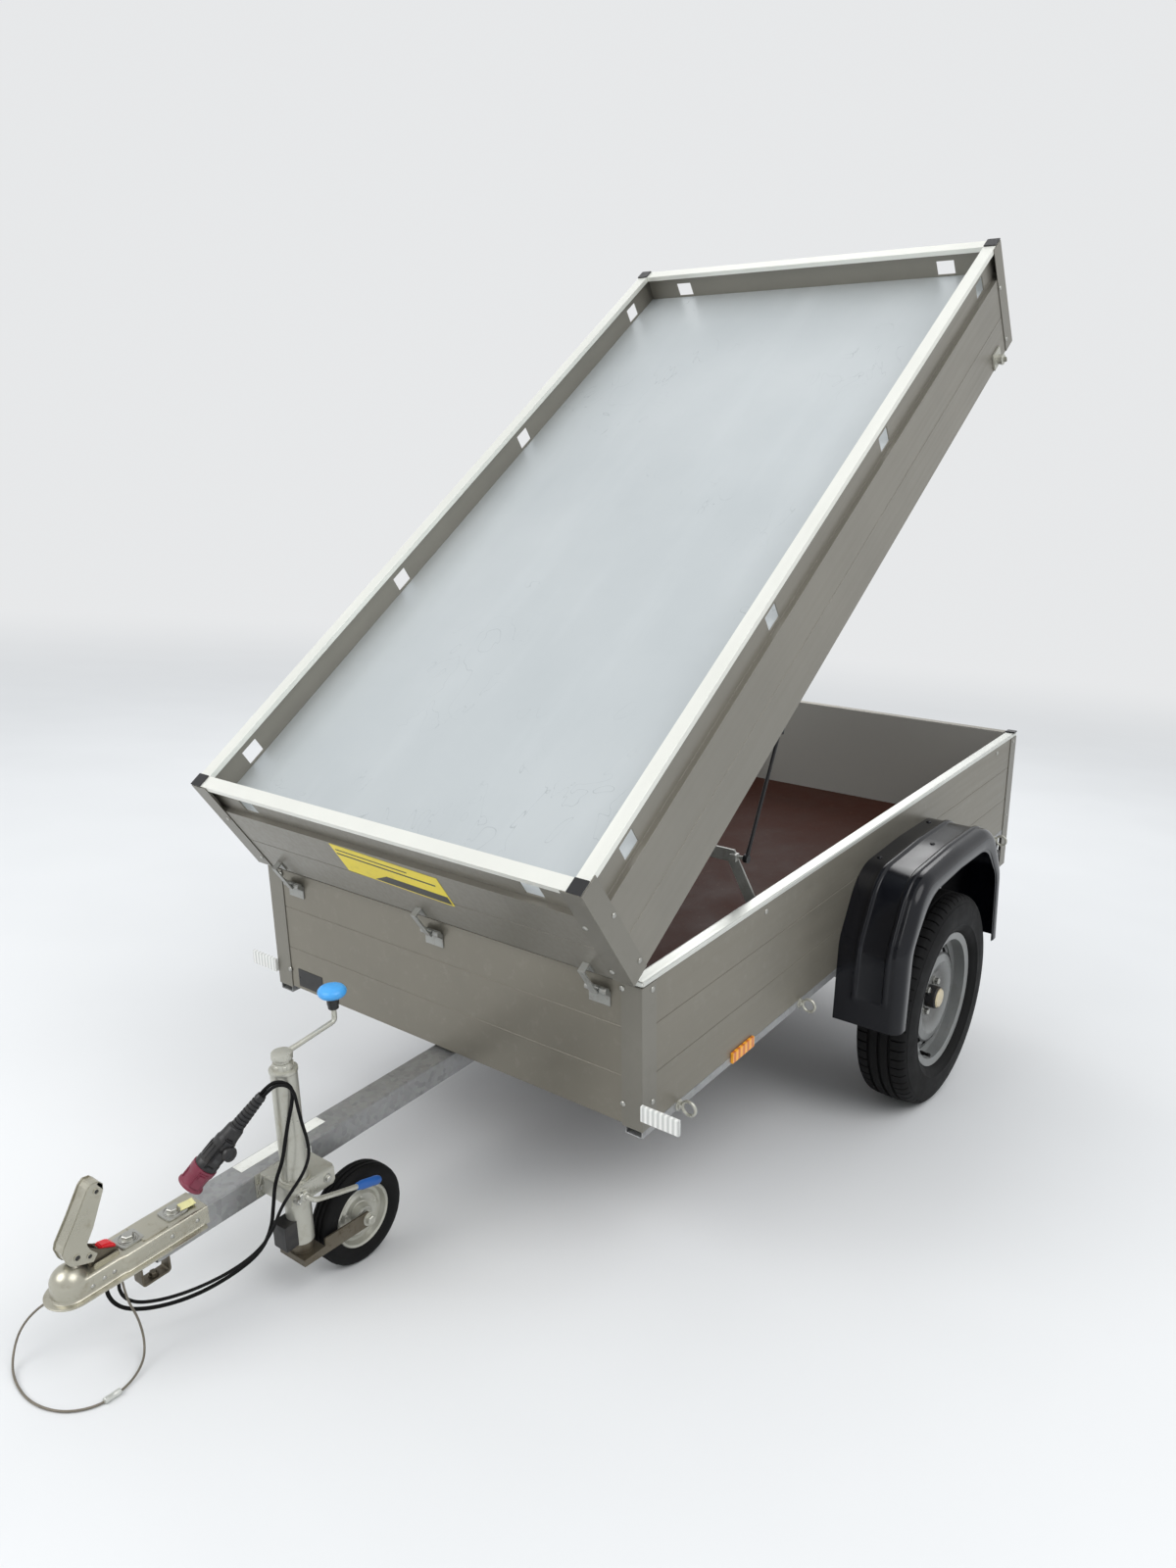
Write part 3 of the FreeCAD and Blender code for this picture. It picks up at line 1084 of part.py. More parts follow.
def stance_angle():
    """The tilt, in degrees, at which the main wheels and the jockey wheel touch one level floor."""
    run = JOCKEY_WHEEL.x - WHEEL.x
    rise = JOCKEY_WHEEL.z - WHEEL.z
    reach = math.hypot(run, rise)
    return math.degrees(math.atan2(rise, run) + math.asin((TYRE_RADIUS - JOCKEY_WHEEL_RADIUS) / reach))


def parked_placement():
    """Tips the level trailer onto its wheels and puts the middle of its footprint at the origin."""
    tilt = Rotation(LEFT, stance_angle())
    middle_x = []
    loose = ("harness_cable_lower", "harness_cable_upper", "safety_cable", "plug_cap", "plug_body")
    for name, shape in PIECES.items():
        if name in loose:
            continue
        box = shape.transformed(Placement(Vector(), tilt).toMatrix(), True).BoundBox
        middle_x += [box.XMin, box.XMax]
    hub_place = tilt.multVec(WHEEL)
    return Placement(Vector(-(min(middle_x) + max(middle_x)) / 2, 0, TYRE_RADIUS - hub_place.z), tilt)


def build():
    chassis()
    axle()
    wheels()
    mudguards()
    box_walls()
    top_rails()
    corner_posts()
    tailgate()
    lid_walls()
    lid_sheet()
    lid_corners()
    hinges()
    struts()
    hoop()
    jockey()
    coupling()
    plug()
    cables()
    fittings()
    return parked_placement()


PARKED = build()
os.makedirs("parts", exist_ok=True)
for piece_name, piece in PIECES.items():
    parked = piece.transformed(PARKED.toMatrix(), True)
    parked.exportStep("parts/" + piece_name + ".step")
print(len(PIECES), "pieces, tilt", round(stance_angle(), 3))
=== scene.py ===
# Looks for the utility trailer: camera, pale stage, cords, finishes and the small forms on the CAD frame.
# Forms are given in millimetres on a level trailer (X forward, Y left, Z up, x = 0 at the front panel's face)
# and then placed by LEVEL, or by LID for what is on the opened lid.
import json
import math

import bmesh
import bpy
from mathutils import Matrix, Vector

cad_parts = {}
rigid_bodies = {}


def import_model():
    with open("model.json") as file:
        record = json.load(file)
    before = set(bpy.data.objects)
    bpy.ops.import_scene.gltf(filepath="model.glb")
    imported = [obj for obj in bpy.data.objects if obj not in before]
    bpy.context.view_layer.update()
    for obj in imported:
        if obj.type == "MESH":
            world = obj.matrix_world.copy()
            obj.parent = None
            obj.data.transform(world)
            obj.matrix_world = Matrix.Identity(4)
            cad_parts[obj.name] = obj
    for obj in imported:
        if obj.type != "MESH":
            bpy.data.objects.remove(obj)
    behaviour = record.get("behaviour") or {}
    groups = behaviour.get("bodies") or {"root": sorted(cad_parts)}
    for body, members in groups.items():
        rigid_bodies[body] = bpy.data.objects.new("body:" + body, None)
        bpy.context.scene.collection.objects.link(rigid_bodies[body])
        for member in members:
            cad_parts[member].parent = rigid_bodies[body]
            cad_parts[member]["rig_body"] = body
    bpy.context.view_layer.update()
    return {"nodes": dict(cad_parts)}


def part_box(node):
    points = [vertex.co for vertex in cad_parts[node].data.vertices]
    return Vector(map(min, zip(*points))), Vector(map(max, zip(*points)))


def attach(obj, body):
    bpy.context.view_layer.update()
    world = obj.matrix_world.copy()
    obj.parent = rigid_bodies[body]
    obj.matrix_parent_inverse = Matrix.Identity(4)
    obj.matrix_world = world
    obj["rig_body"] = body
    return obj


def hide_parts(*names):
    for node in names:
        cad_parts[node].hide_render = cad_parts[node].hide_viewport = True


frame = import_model()
NODES = frame["nodes"]

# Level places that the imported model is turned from
WHEEL = Vector((-1194, 0, 285))
JOCKEY_WHEEL = Vector((340, 0, 318))
LID_PIN = Vector((11, 0, 763))
LID_ANGLE = math.radians(33.4)

# Sizes on the level trailer
BOX_LENGTH = 2060
HALF_OUT = 530
BOX_BASE = 486
PANEL_THICK = 25
FRAME_LOW = 466
LID_TOP = 1078
RIM_DEPTH = 13.5
JOCKEY_X = 472
JOCKEY_Y = 92

# The camera that the photograph was taken with, in the level frame
LENS = 27.07
CAMERA_PLACE = (1583.83, 1629.67, 1802.14)
CAMERA_RIGHT = (-0.60414084, 0.7966999, -0.01682618)
CAMERA_UP = (-0.25478443, -0.17311117, 0.95137659)
CAMERA_BACK = (0.75504883, 0.5790525, 0.30757026)

UP = Vector((0, 0, 1))
LEFT = Vector((0, 1, 0))
AHEAD = Vector((1, 0, 0))


def middle(node):
    """The middle of a CAD node's box, in metres."""
    low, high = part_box(node)
    return (low + high) / 2


def lean(start, end):
    """The angle of a line over the level."""
    return math.atan2(end.z - start.z, end.x - start.x)


WHEEL_HERE = middle("tyre_left")
TILT = lean(WHEEL, JOCKEY_WHEEL) - lean(WHEEL_HERE, middle("jockey_tyre"))
TURN = Matrix.Rotation(TILT, 4, "Y")
SHIFT = WHEEL_HERE - (TURN @ WHEEL) * 0.001
SHIFT.y = 0
LEVEL = Matrix.Translation(SHIFT) @ TURN @ Matrix.Scale(0.001, 4)
OPENED = Matrix.Rotation(LID_ANGLE, 4, "Y")
LID = LEVEL @ Matrix.Translation(LID_PIN) @ OPENED @ Matrix.Translation(-LID_PIN)
LID_TILT = TILT + LID_ANGLE


PLUG_FACE = Vector((637, 21, 527.5))
PLUG_BOOT = Vector((525.5, 99, 677))
PLUG_AXIS = (PLUG_BOOT - PLUG_FACE).normalized()
BOOT_SIDE = (LEFT - PLUG_AXIS * LEFT.dot(PLUG_AXIS)).normalized()


# Materials

def linear(colour):
    """An sRGB colour in 0 to 255 as linear RGBA."""
    out = []
    for part in colour:
        part = part / 255
        out.append(part / 12.92 if part <= 0.04045 else ((part + 0.055) / 1.055) ** 2.4)
    return (*out, 1)


def new_node(tree, kind, **inputs):
    """Adds a node and sets its inputs, whose names have _ for their spaces."""
    node = tree.nodes.new("ShaderNode" + kind)
    for name, value in inputs.items():
        node.inputs[name.replace("_", " ")].default_value = value
    return node


def empty_tree(holder):
    holder.use_nodes = True
    holder.node_tree.nodes.clear()
    return holder.node_tree


class Graph:
    """A material whose textures run along the trailer, or along the opened lid."""

    def __init__(self, name, metal=0, rough=0.5, turn=None, **sockets):
        self.material = bpy.data.materials.new(name)
        self.tree = empty_tree(self.material)
        self.shader = self.add("BsdfPrincipled", Metallic=metal, Roughness=rough, **sockets)
        output = self.add("OutputMaterial")
        self.join(self.shader.outputs["BSDF"], output.inputs["Surface"])
        coordinates = self.add("TexCoord")
        rotate = self.add("VectorRotate", Angle=-(TILT if turn is None else turn))
        rotate.rotation_type = "Y_AXIS"
        self.join(coordinates.outputs["Object"], rotate.inputs["Vector"])
        self.place = rotate.outputs["Vector"]
        self.raw = coordinates.outputs["Object"]

    def add(self, kind, **inputs):
        return new_node(self.tree, kind, **inputs)

    def join(self, output, socket):
        self.tree.links.new(output, socket)

    def feed(self, socket, value):
        """Sets a socket to a number or an sRGB colour, or joins it to an output."""
        if isinstance(value, (int, float)):
            socket.default_value = value
        elif isinstance(value, tuple):
            socket.default_value = linear(value)
        else:
            self.join(value, socket)

    def stretched(self, stretch):
        mapping = self.add("Mapping", Scale=stretch)
        self.join(self.place, mapping.inputs["Vector"])
        return mapping.outputs["Vector"]

    def noise(self, scale, detail=4.0, rough=0.55, stretch=(1, 1, 1), warp=0.0):
        node = self.add("TexNoise", Scale=scale, Detail=detail, Roughness=rough, Distortion=warp)
        self.join(self.stretched(stretch), node.inputs["Vector"])
        return node.outputs["Fac"]

    def cells(self, scale):
        node = self.add("TexVoronoi", Scale=scale)
        self.join(self.stretched((1, 1, 1)), node.inputs["Vector"])
        return node.outputs["Color"]

    def bands(self, scale, direction):
        node = self.add("TexWave", Scale=scale)
        node.bands_direction = direction
        self.join(self.place, node.inputs["Vector"])
        return node.outputs["Fac"]

    def level(self, value, low, high, start=0.0, end=1.0):
        """Maps a value from one range to another."""
        node = self.add("MapRange", From_Min=low, From_Max=high, To_Min=start, To_Max=end)
        self.feed(node.inputs["Value"], value)
        return node.outputs["Result"]

    def sum(self, kind, first, second):
        node = self.add("Math")
        node.operation = kind
        self.feed(node.inputs[0], first)
        self.feed(node.inputs[1], second)
        return node.outputs["Value"]

    def times(self, first, second):
        return self.sum("MULTIPLY", first, second)

    def plus(self, first, second):
        return self.sum("ADD", first, second)

    def minus(self, first, second):
        return self.sum("SUBTRACT", first, second)

    def size(self, value):
        return self.sum("ABSOLUTE", value, 0)

    def mix(self, share, first, second):
        node = self.add("Mix")
        node.data_type = "RGBA"
        self.feed(node.inputs[0], share)
        self.feed(node.inputs[6], first)
        self.feed(node.inputs[7], second)
        return node.outputs[2]

    def split(self, place):
        """The X, Y and Z of a place, in metres."""
        node = self.add("SeparateXYZ")
        self.join(place, node.inputs[0])
        return node.outputs["X"], node.outputs["Y"], node.outputs["Z"]

    def height(self):
        """The height over the floor, in metres."""
        return self.split(self.raw)[2]

    def colour(self, value):
        self.feed(self.shader.inputs["Base Color"], value)

    def rough(self, value, low, high):
        self.feed(self.shader.inputs["Roughness"], self.level(value, 0.3, 0.7, low, high))

    def metal(self, value, low, high):
        self.feed(self.shader.inputs["Metallic"], self.level(value, 0, 1, low, high))

    def bumped(self, height, strength, distance):
        """Adds the relief and hands over the material."""
        node = self.add("Bump", Strength=strength, Distance=distance)
        self.feed(node.inputs["Height"], height)
        self.join(node.outputs["Normal"], self.shader.inputs["Normal"])
        return self.material


# How metallic the panels are, outside and on the box's inner faces, which are made less metallic as painted
# light on the shaded inside
PANEL_METAL = 0.48
INSIDE_PAINTED_LIGHT_METAL = 0.2
# Half the box's inner width in metres
HALF_IN = 0.505


def turned_back(place, tilt):
    """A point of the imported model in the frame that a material's textures run along."""
    return Matrix.Rotation(-tilt, 3, "Y") @ place


def painted_light_inside_mask(paint):
    """1 on the box's inner faces, which get painted light, and 0 outside."""
    inner_faces = (-BOX_LENGTH + PANEL_THICK, -PANEL_THICK)
    rear, front = [turned_back(LEVEL @ Vector((x, 0, BOX_BASE)), TILT).x for x in inner_faces]
    ahead, aside, above = paint.split(paint.place)
    between = paint.level(paint.size(aside), HALF_IN + 0.0002, HALF_IN + 0.0006, 1, 0)
    after_rear = paint.level(ahead, rear - 0.0010, rear - 0.0004)
    before_front = paint.level(ahead, front + 0.0004, front + 0.0010, 1, 0)
    return paint.times(between, paint.times(after_rear, before_front))


def panel_metal(name, dark, light, turn):
    """Satin aluminium, rolled along the trailer, with faint water marks and cloudy reflections. The box's
    inner faces are painted paler and less metallic, as painted light on their shaded side.
    """
    paint = Graph(name, metal=PANEL_METAL, turn=turn, Anisotropic=0.3)
    grain = paint.noise(60, stretch=(0.05, 1, 1), detail=5)
    cloud = paint.noise(2.6, detail=6, rough=0.6)
    speck = paint.noise(42, detail=3, rough=0.7)
    base = paint.mix(cloud, dark, light)
    inside = painted_light_inside_mask(paint)
    # painted light: the box's inner faces get a paler colour and less metal than the outside
    base = paint.mix(inside, base, (176, 174, 168))
    paint.metal(inside, PANEL_METAL, INSIDE_PAINTED_LIGHT_METAL)
    paint.colour(paint.mix(paint.level(speck, 0.56, 0.78, 0, 0.16), base, (164, 162, 154)))
    uneven = paint.plus(paint.level(grain, 0.3, 0.7, 0.30, 0.38), paint.level(cloud, 0.3, 0.7, -0.03, 0.05))
    paint.feed(paint.shader.inputs["Roughness"], uneven)
    return paint.bumped(paint.plus(grain, paint.times(cloud, 2)), 0.04, 0.002)


def lid_wall_metal(name, dark, light):
    """The lid's walls: satin like the panels below the channel, with a bright anodised flange on top."""
    paint = Graph(name, metal=PANEL_METAL, turn=LID_TILT, Anisotropic=0.3)
    cloud = paint.noise(2.6, detail=6, rough=0.6)
    grain = paint.noise(90, stretch=(0.03, 1, 1))
    rim_low = turned_back(LID @ Vector((0, 0, LID_TOP - RIM_DEPTH)), LID_TILT).z
    rim = paint.level(paint.split(paint.place)[2], rim_low, rim_low + 0.0006)
    wall = paint.mix(cloud, dark, light)
    bright = paint.mix(cloud, (220, 220, 212), (240, 240, 233))
    paint.colour(paint.mix(rim, wall, bright))
    paint.rough(grain, 0.28, 0.40)
    return paint.bumped(paint.plus(grain, paint.times(cloud, 2)), 0.04, 0.002)


def rail_metal(name, turn):
    """Bright anodised profile with drawn lines along it."""
    paint = Graph(name, metal=0.55, turn=turn)
    grain = paint.noise(90, stretch=(0.03, 1, 1))
    cloud = paint.noise(5, detail=5)
    paint.colour(paint.mix(cloud, (196, 198, 192), (222, 223, 217)))
    paint.rough(grain, 0.28, 0.42)
    return paint.bumped(grain, 0.05, 0.001)


def galvanised(name):
    """Hot-dip zinc, dull grey with a faint spangle, and a little road dirt below."""
    paint = Graph(name, metal=0.6)
    spangle = paint.cells(110)
    patch = paint.noise(6, detail=6, rough=0.6)
    mixed = paint.mix(0.1, paint.mix(patch, (134, 139, 139), (158, 162, 160)), spangle)
    grey = paint.add("HueSaturation")
    grey.inputs["Saturation"].default_value = 0.1
    paint.join(mixed, grey.inputs["Color"])
    dirt = paint.times(paint.noise(28, detail=6, rough=0.7), paint.level(paint.height(), 0.1, 0.5, 0.9, 0.3))
    paint.colour(paint.mix(paint.level(dirt, 0.42, 0.7, 0, 0.5), grey.outputs["Color"], (100, 92, 80)))
    paint.rough(patch, 0.40, 0.52)
    return paint.bumped(patch, 0.06, 0.002)


def stained(name, dark, light, stain, metal, low, high, scale=14, amount=0.5, **sockets):
    """A finish with two tones, stains where the noise is high, and uneven roughness."""
    paint = Graph(name, metal=metal, **sockets)
    cloud = paint.noise(scale, detail=5)
    spots = paint.noise(scale * 4, detail=6, rough=0.7)
    base = paint.mix(cloud, dark, light)
    paint.colour(paint.mix(paint.level(spots, 0.52, 0.74, 0, amount), base, stain))
    paint.rough(cloud, low, high)
    return paint.bumped(spots, 0.08, 0.001)


def plywood(name):
    """Red-brown film-faced board with a fine pressed mesh, worn and dusty."""
    paint = Graph(name, rough=0.5, Specular_IOR_Level=0.1)
    cross = paint.sum("MAXIMUM", paint.bands(60, "X"), paint.bands(60, "Y"))
    cloud = paint.noise(5, detail=7, rough=0.65)
    grain = paint.noise(26, stretch=(0.12, 1, 1), detail=5)
    base = paint.mix(cloud, (44, 24, 18), (70, 40, 31))
    base = paint.mix(paint.level(grain, 0.55, 0.8, 0, 0.4), base, (62, 38, 32))
    paint.colour(paint.mix(paint.level(paint.noise(70, detail=4), 0.6, 0.8, 0, 0.25), base, (104, 78, 64)))
    paint.rough(cloud, 0.5, 0.7)
    return paint.bumped(cross, 0.18, 0.0006)


def lid_skin(name):
    """The lid's pale blue-grey sheet with dried water marks and a few long scuffs."""
    paint = Graph(name, metal=0.35, turn=LID_TILT)
    cloud = paint.noise(2.4, detail=6, rough=0.6)
    runs = paint.noise(9, stretch=(0.14, 1, 1), detail=5, rough=0.6)
    scuff = paint.noise(5.5, stretch=(1, 1.8, 1), detail=2, warp=1.4)
    line = paint.minus(1, paint.level(paint.size(paint.minus(scuff, 0.5)), 0, 0.004))
    rare = paint.level(paint.noise(3.1, detail=2), 0.56, 0.62)
    base = paint.mix(cloud, (178, 184, 186), (196, 200, 201))
    base = paint.mix(paint.level(runs, 0.5, 0.8, 0, 0.35), base, (202, 206, 207))
    paint.colour(paint.mix(paint.times(paint.times(line, rare), 0.45), base, (120, 128, 134)))
    paint.rough(runs, 0.34, 0.46)
    return paint.bumped(cloud, 0.03, 0.004)


# Where the rim gets painted shade inside, in metres: between its two discs, and on a cone behind the vents
RIM_SHADE_FROM = 0.6220
RIM_SHADE_TO = 0.6235
DISC_CONE = 0.7538
DISC_SLOPE = 0.85
VENTS_FROM = 0.116


def wheel_silver(name):
    """Silver paint with painted shade in the hollow round the hub, and black painted shade, not metallic,
    inside behind the vents.
    """
    paint = Graph(name, metal=0.5)
    ahead, aside, above = paint.split(paint.raw)
    from_axis = paint.sum("POWER", paint.plus(paint.sum("POWER", paint.minus(ahead, WHEEL_HERE.x), 2),
                                              paint.sum("POWER", paint.minus(above, WHEEL_HERE.z), 2)), 0.5)
    cloud = paint.noise(10, detail=5)
    spots = paint.noise(40, detail=6, rough=0.7)
    silver = paint.mix(cloud, (123, 125, 124), (144, 145, 144))
    silver = paint.mix(paint.level(spots, 0.52, 0.74, 0, 0.3), silver, (104, 97, 88))
    # painted shade: darker towards the hub, in the hollow round it
    silver = paint.mix(paint.level(from_axis, 0.072, 0.092, 0.55, 0), silver, (78, 76, 72))
    along = paint.size(aside)
    over_disc = paint.minus(paint.plus(along, paint.times(from_axis, DISC_SLOPE)), DISC_CONE)
    # painted shade: black and not metallic behind the vents and between the rim's two discs
    vent_shade = paint.times(paint.level(over_disc, -0.0025, -0.0015, 1, 0),
                          paint.level(from_axis, VENTS_FROM, VENTS_FROM + 0.002))
    unshaded = paint.sum("MINIMUM", paint.level(along, RIM_SHADE_FROM, RIM_SHADE_TO),
                        paint.minus(1, vent_shade))
    paint.colour(paint.mix(unshaded, (16, 16, 16), silver))
    paint.metal(unshaded, 0, 0.5)
    paint.rough(cloud, 0.30, 0.42)
    return paint.bumped(spots, 0.06, 0.001)


def rubber(name, dust):
    """Black rubber, dusty where the noise is high and towards the floor."""
    paint = Graph(name, rough=0.72, Specular_IOR_Level=0.2)
    cloud = paint.noise(12, detail=6, rough=0.65)
    near_floor = paint.level(paint.height(), 0, 0.35, 0.55, 0)
    share = paint.times(paint.level(cloud, 0.35, 0.8), paint.plus(near_floor, dust))
    paint.colour(paint.mix(share, (6, 6, 7), (30, 28, 26)))
    paint.rough(cloud, 0.6, 0.82)
    return paint.bumped(paint.noise(300, detail=2), 0.1, 0.0005)


def moulded(name, dark, light, low, high, dust=0, **sockets):
    """Moulded plastic with a fine pore and a film of dust near the floor."""
    paint = Graph(name, **sockets)
    cloud = paint.noise(10, detail=5)
    base = paint.mix(cloud, dark, light)
    if dust:
        near_floor = paint.level(paint.height(), 0.3, 0.75, dust, 0)
        share = paint.times(paint.level(paint.noise(34, detail=6, rough=0.7), 0.4, 0.75), near_floor)
        base = paint.mix(share, base, (120, 110, 98))
    paint.colour(base)
    paint.rough(cloud, low, high)
    return paint.bumped(paint.noise(260, detail=2), 0.05, 0.0004)


def ribbed_lens(name, dark, light, direction, scale, **sockets):
    """A reflector with prisms behind a clear face; the lighter bands along the prisms are painted highlights.
    """
    paint = Graph(name, rough=0.18, Coat_Weight=0.6, Coat_Roughness=0.08, **sockets)
    ribs_and_highlights = paint.bands(scale, direction)
    # painted highlights: the light colour lies in bands along the prisms
    paint.colour(paint.mix(ribs_and_highlights, dark, light))
    return paint.bumped(ribs_and_highlights, 0.4, 0.001)


MATERIALS = {
    "panel": panel_metal("panel_satin", (118, 114, 104), (138, 133, 121), TILT),
    "lid_wall": lid_wall_metal("lid_wall_satin", (122, 119, 111), (142, 138, 128)),
    "rail": rail_metal("rail_bright", TILT),
    "post": stained("post_satin", (121, 118, 110), (140, 137, 128), (104, 101, 90), 0.62, 0.30, 0.42, 5, 0.2),
    "sheet": lid_skin("lid_sheet_skin"),
    "galvanised": galvanised("galvanised_zinc"),
    "zinc": stained("zinc_plate", (171, 170, 160), (195, 194, 184), (135, 124, 99), 0.55, 0.24, 0.38, 10,
                    0.4),
    "coupling": stained("zinc_pressed", (161, 159, 145), (193, 189, 175), (124, 112, 86), 0.85, 0.24, 0.38,
                        9, 0.5),
    "hinge": stained("hinge_steel", (144, 145, 142), (168, 168, 163), (108, 99, 84), 0.5, 0.3, 0.44),
    "wire": stained("wire_grey_brown", (104, 98, 88), (134, 126, 112), (70, 62, 54), 0.35, 0.42, 0.6, 60,
                    0.6),
    "dull_zinc": stained("zinc_worn", (94, 86, 73), (125, 119, 106), (72, 58, 42), 0.85, 0.4, 0.58, 22, 0.7),
    "dark_steel": stained("strap_steel", (69, 70, 69), (94, 94, 92), (55, 48, 41), 0.85, 0.34, 0.5),
    "black_steel": stained("black_steel", (20, 20, 22), (34, 34, 36), (60, 56, 50), 0.3, 0.3, 0.45),
    "hub": stained("hub_black", (28, 28, 30), (44, 44, 46), (92, 78, 58), 0.3, 0.35, 0.55),
    "rim": wheel_silver("rim_silver"),
    "hub_end": stained("hub_end_brassy", (196, 182, 150), (222, 210, 180), (130, 112, 80), 0.85, 0.22, 0.36),
    "plywood": plywood("floor_film"),
    "tyre": rubber("tyre_black", 0.12),
    "cable": rubber("cable_black", 0.04),
    "black": moulded("black_plastic", (16, 16, 18), (25, 25, 27), 0.32, 0.46, 0.12),
    "guard": moulded("guard_navy", (7, 8, 14), (10, 12, 20), 0.14, 0.22, 0, Specular_IOR_Level=0.36),
    "blue": moulded("knob_blue", (58, 146, 214), (78, 170, 236), 0.28, 0.4),
    "grip": moulded("grip_blue", (24, 78, 148), (34, 96, 172), 0.32, 0.45),
    "burgundy": moulded("cap_burgundy", (104, 34, 52), (126, 46, 66), 0.35, 0.5),
    "red": moulded("indicator_red", (206, 22, 34), (228, 36, 46), 0.3, 0.4),
    "white_lens": ribbed_lens("marker_white", (196, 197, 194), (240, 240, 236), "Y", 28),
    "orange_lens": ribbed_lens("reflector_orange", (196, 96, 8), (255, 176, 30), "X", 17),
    "red_lens": ribbed_lens("lamp_red", (150, 10, 14), (200, 24, 28), "Z", 40),
    "amber_lens": ribbed_lens("lamp_amber", (206, 104, 10), (250, 156, 30), "Z", 40),
    "clear_lens": ribbed_lens("lamp_clear", (206, 206, 204), (236, 236, 232), "Z", 40),
    "bolt": stained("bolt_zinc", (160, 160, 154), (190, 190, 185), (113, 100, 80), 0.9, 0.25, 0.4),
    "tag": stained("tag_pale_yellow", (226, 220, 150), (240, 234, 176), (180, 168, 110), 0, 0.4, 0.5),
    "label": stained("label_white", (226, 226, 220), (240, 240, 234), (176, 172, 160), 0, 0.4, 0.55),
    "yellow": stained("sticker_yellow", (226, 204, 36), (240, 220, 60), (196, 178, 60), 0, 0.3, 0.42),
    "dark_print": stained("sticker_dark", (40, 40, 42), (58, 58, 58), (90, 86, 70), 0, 0.35, 0.5),
}


# The slot name for each material's pieces, unless they name another; show looks it up but sets no slot
SLOTS = {
    "galvanised": "galvanised_steel", "rim": "rim_steel", "hub": "hub_steel", "hub_end": "hub_steel",
    "panel": "panel_aluminium", "lid_wall": "panel_aluminium", "plywood": "floor_plywood",
    "rail": "bright_aluminium", "post": "post_aluminium", "sheet": "sheet_aluminium",
    "black": "black_plastic", "dark_steel": "dark_steel", "hinge": "dark_steel",
    "black_steel": "black_steel", "zinc": "zinc_steel", "dull_zinc": "zinc_steel", "coupling": "zinc_steel",
    "bolt": "zinc_steel", "tyre": "tyre_rubber", "white_lens": "white_plastic",
    "orange_lens": "orange_plastic", "red_lens": "red_lens", "blue": "blue_plastic", "grip": "blue_plastic",
    "burgundy": "red_plastic", "red": "red_plastic", "guard": "guard_plastic", "tag": "white_plastic",
    "label": "galvanised_steel", "yellow": "panel_aluminium"}


# Mesh helpers

def ring(bm, centre, side, other, radius, segments):
    """Points round a centre in the plane of two directions."""
    points = []
    for k in range(segments):
        angle = 2 * math.pi * k / segments
        points.append(bm.verts.new(centre + (side * math.cos(angle) + other * math.sin(angle)) * radius))
    return points


def bridge(bm, rows, closed=False, around=True):
    """Joins rows of points with faces; closed joins the last row to the first, around each row's ends."""
    pairs = list(zip(rows, rows[1:]))
    if closed:
        pairs.append((rows[-1], rows[0]))
    for before, after in pairs:
        count = max(len(before), len(after))
        for i in range(count if around else count - 1):
            j = (i + 1) % count
            corners = [row[k % len(row)] for row, k in ((before, i), (before, j), (after, j), (after, i))]
            corners = list(dict.fromkeys(corners))
            if len(corners) > 2:
                bm.faces.new(corners)


def spin(bm, profile, origin, axis, segments=32):
    """A surface of revolution from (radius, distance along the axis) points."""
    axis = Vector(axis).normalized()
    side = axis.orthogonal().normalized()
    other = axis.cross(side)
    rings = []
    for radius, along in profile:
        centre = Vector(origin) + axis * along
        if radius < 1e-6:
            rings.append([bm.verts.new(centre)])
        else:
            rings.append(ring(bm, centre, side, other, radius, segments))
    bridge(bm, rings)


def capped(bm, profile, origin, axis, segments=32):
    """A turned solid whose ends are closed."""
    spin(bm, [(0, profile[0][1]), *profile, (0, profile[-1][1])], origin, axis, segments)


def sweep(bm, points, radius, segments=12, closed=False):
    """A round bar along a line of points, with flat ends."""
    points = [Vector(point) for point in points]
    count = len(points)
    rings = []
    side = None
    for i, point in enumerate(points):
        if closed:
            along = points[(i + 1) % count] - points[i - 1]
        else:
            along = points[min(i + 1, count - 1)] - points[max(i - 1, 0)]
        along.normalize()
        side = along.orthogonal() if side is None else side - along * side.dot(along)
        side.normalize()
        rings.append(ring(bm, point, side, along.cross(side), radius, segments))
    if not closed:
        bm.faces.new(rings[0])
        bm.faces.new(rings[-1])
    bridge(bm, rings, closed)


def slab(bm, corners, depth, edge=0, segments=2):
    """A plate from its outline's corner points, as thick as the depth vector, with its edges rounded."""
    shape = bmesh.new()
    depth = Vector(depth)
    low = [shape.verts.new(Vector(corner)) for corner in corners]
    high = [shape.verts.new(Vector(corner) + depth) for corner in corners]
    shape.faces.new(low)
    shape.faces.new(list(reversed(high)))
    for i in range(len(corners)):
        j = (i + 1) % len(corners)
        shape.faces.new((low[i], high[i], high[j], low[j]))
    bmesh.ops.recalc_face_normals(shape, faces=shape.faces)
    if edge:
        bmesh.ops.bevel(shape, geom=shape.edges[:], offset=edge, segments=segments, affect="EDGES",
                        clamp_overlap=True)
    join(bm, shape)


def rib(bm, low, beside, along, out, edge, segments=2):
    """A straight bar from one corner point and its three side vectors."""
    slab(bm, (low, low + beside, low + beside + along, low + along), out, edge, segments)


def brick(bm, low, high, edge=0, segments=2):
    """A block between two corner points."""
    x0, y0, z0 = low
    x1, y1, z1 = high
    slab(bm, ((x0, y0, z0), (x1, y0, z0), (x1, y1, z0), (x0, y1, z0)), (0, 0, z1 - z0), edge, segments)


def join(bm, shape):
    """Adds a finished shape to a mesh and frees it."""
    mesh = bpy.data.meshes.new("join")
    shape.to_mesh(mesh)
    shape.free()
    bm.from_mesh(mesh)
    bpy.data.meshes.remove(mesh)


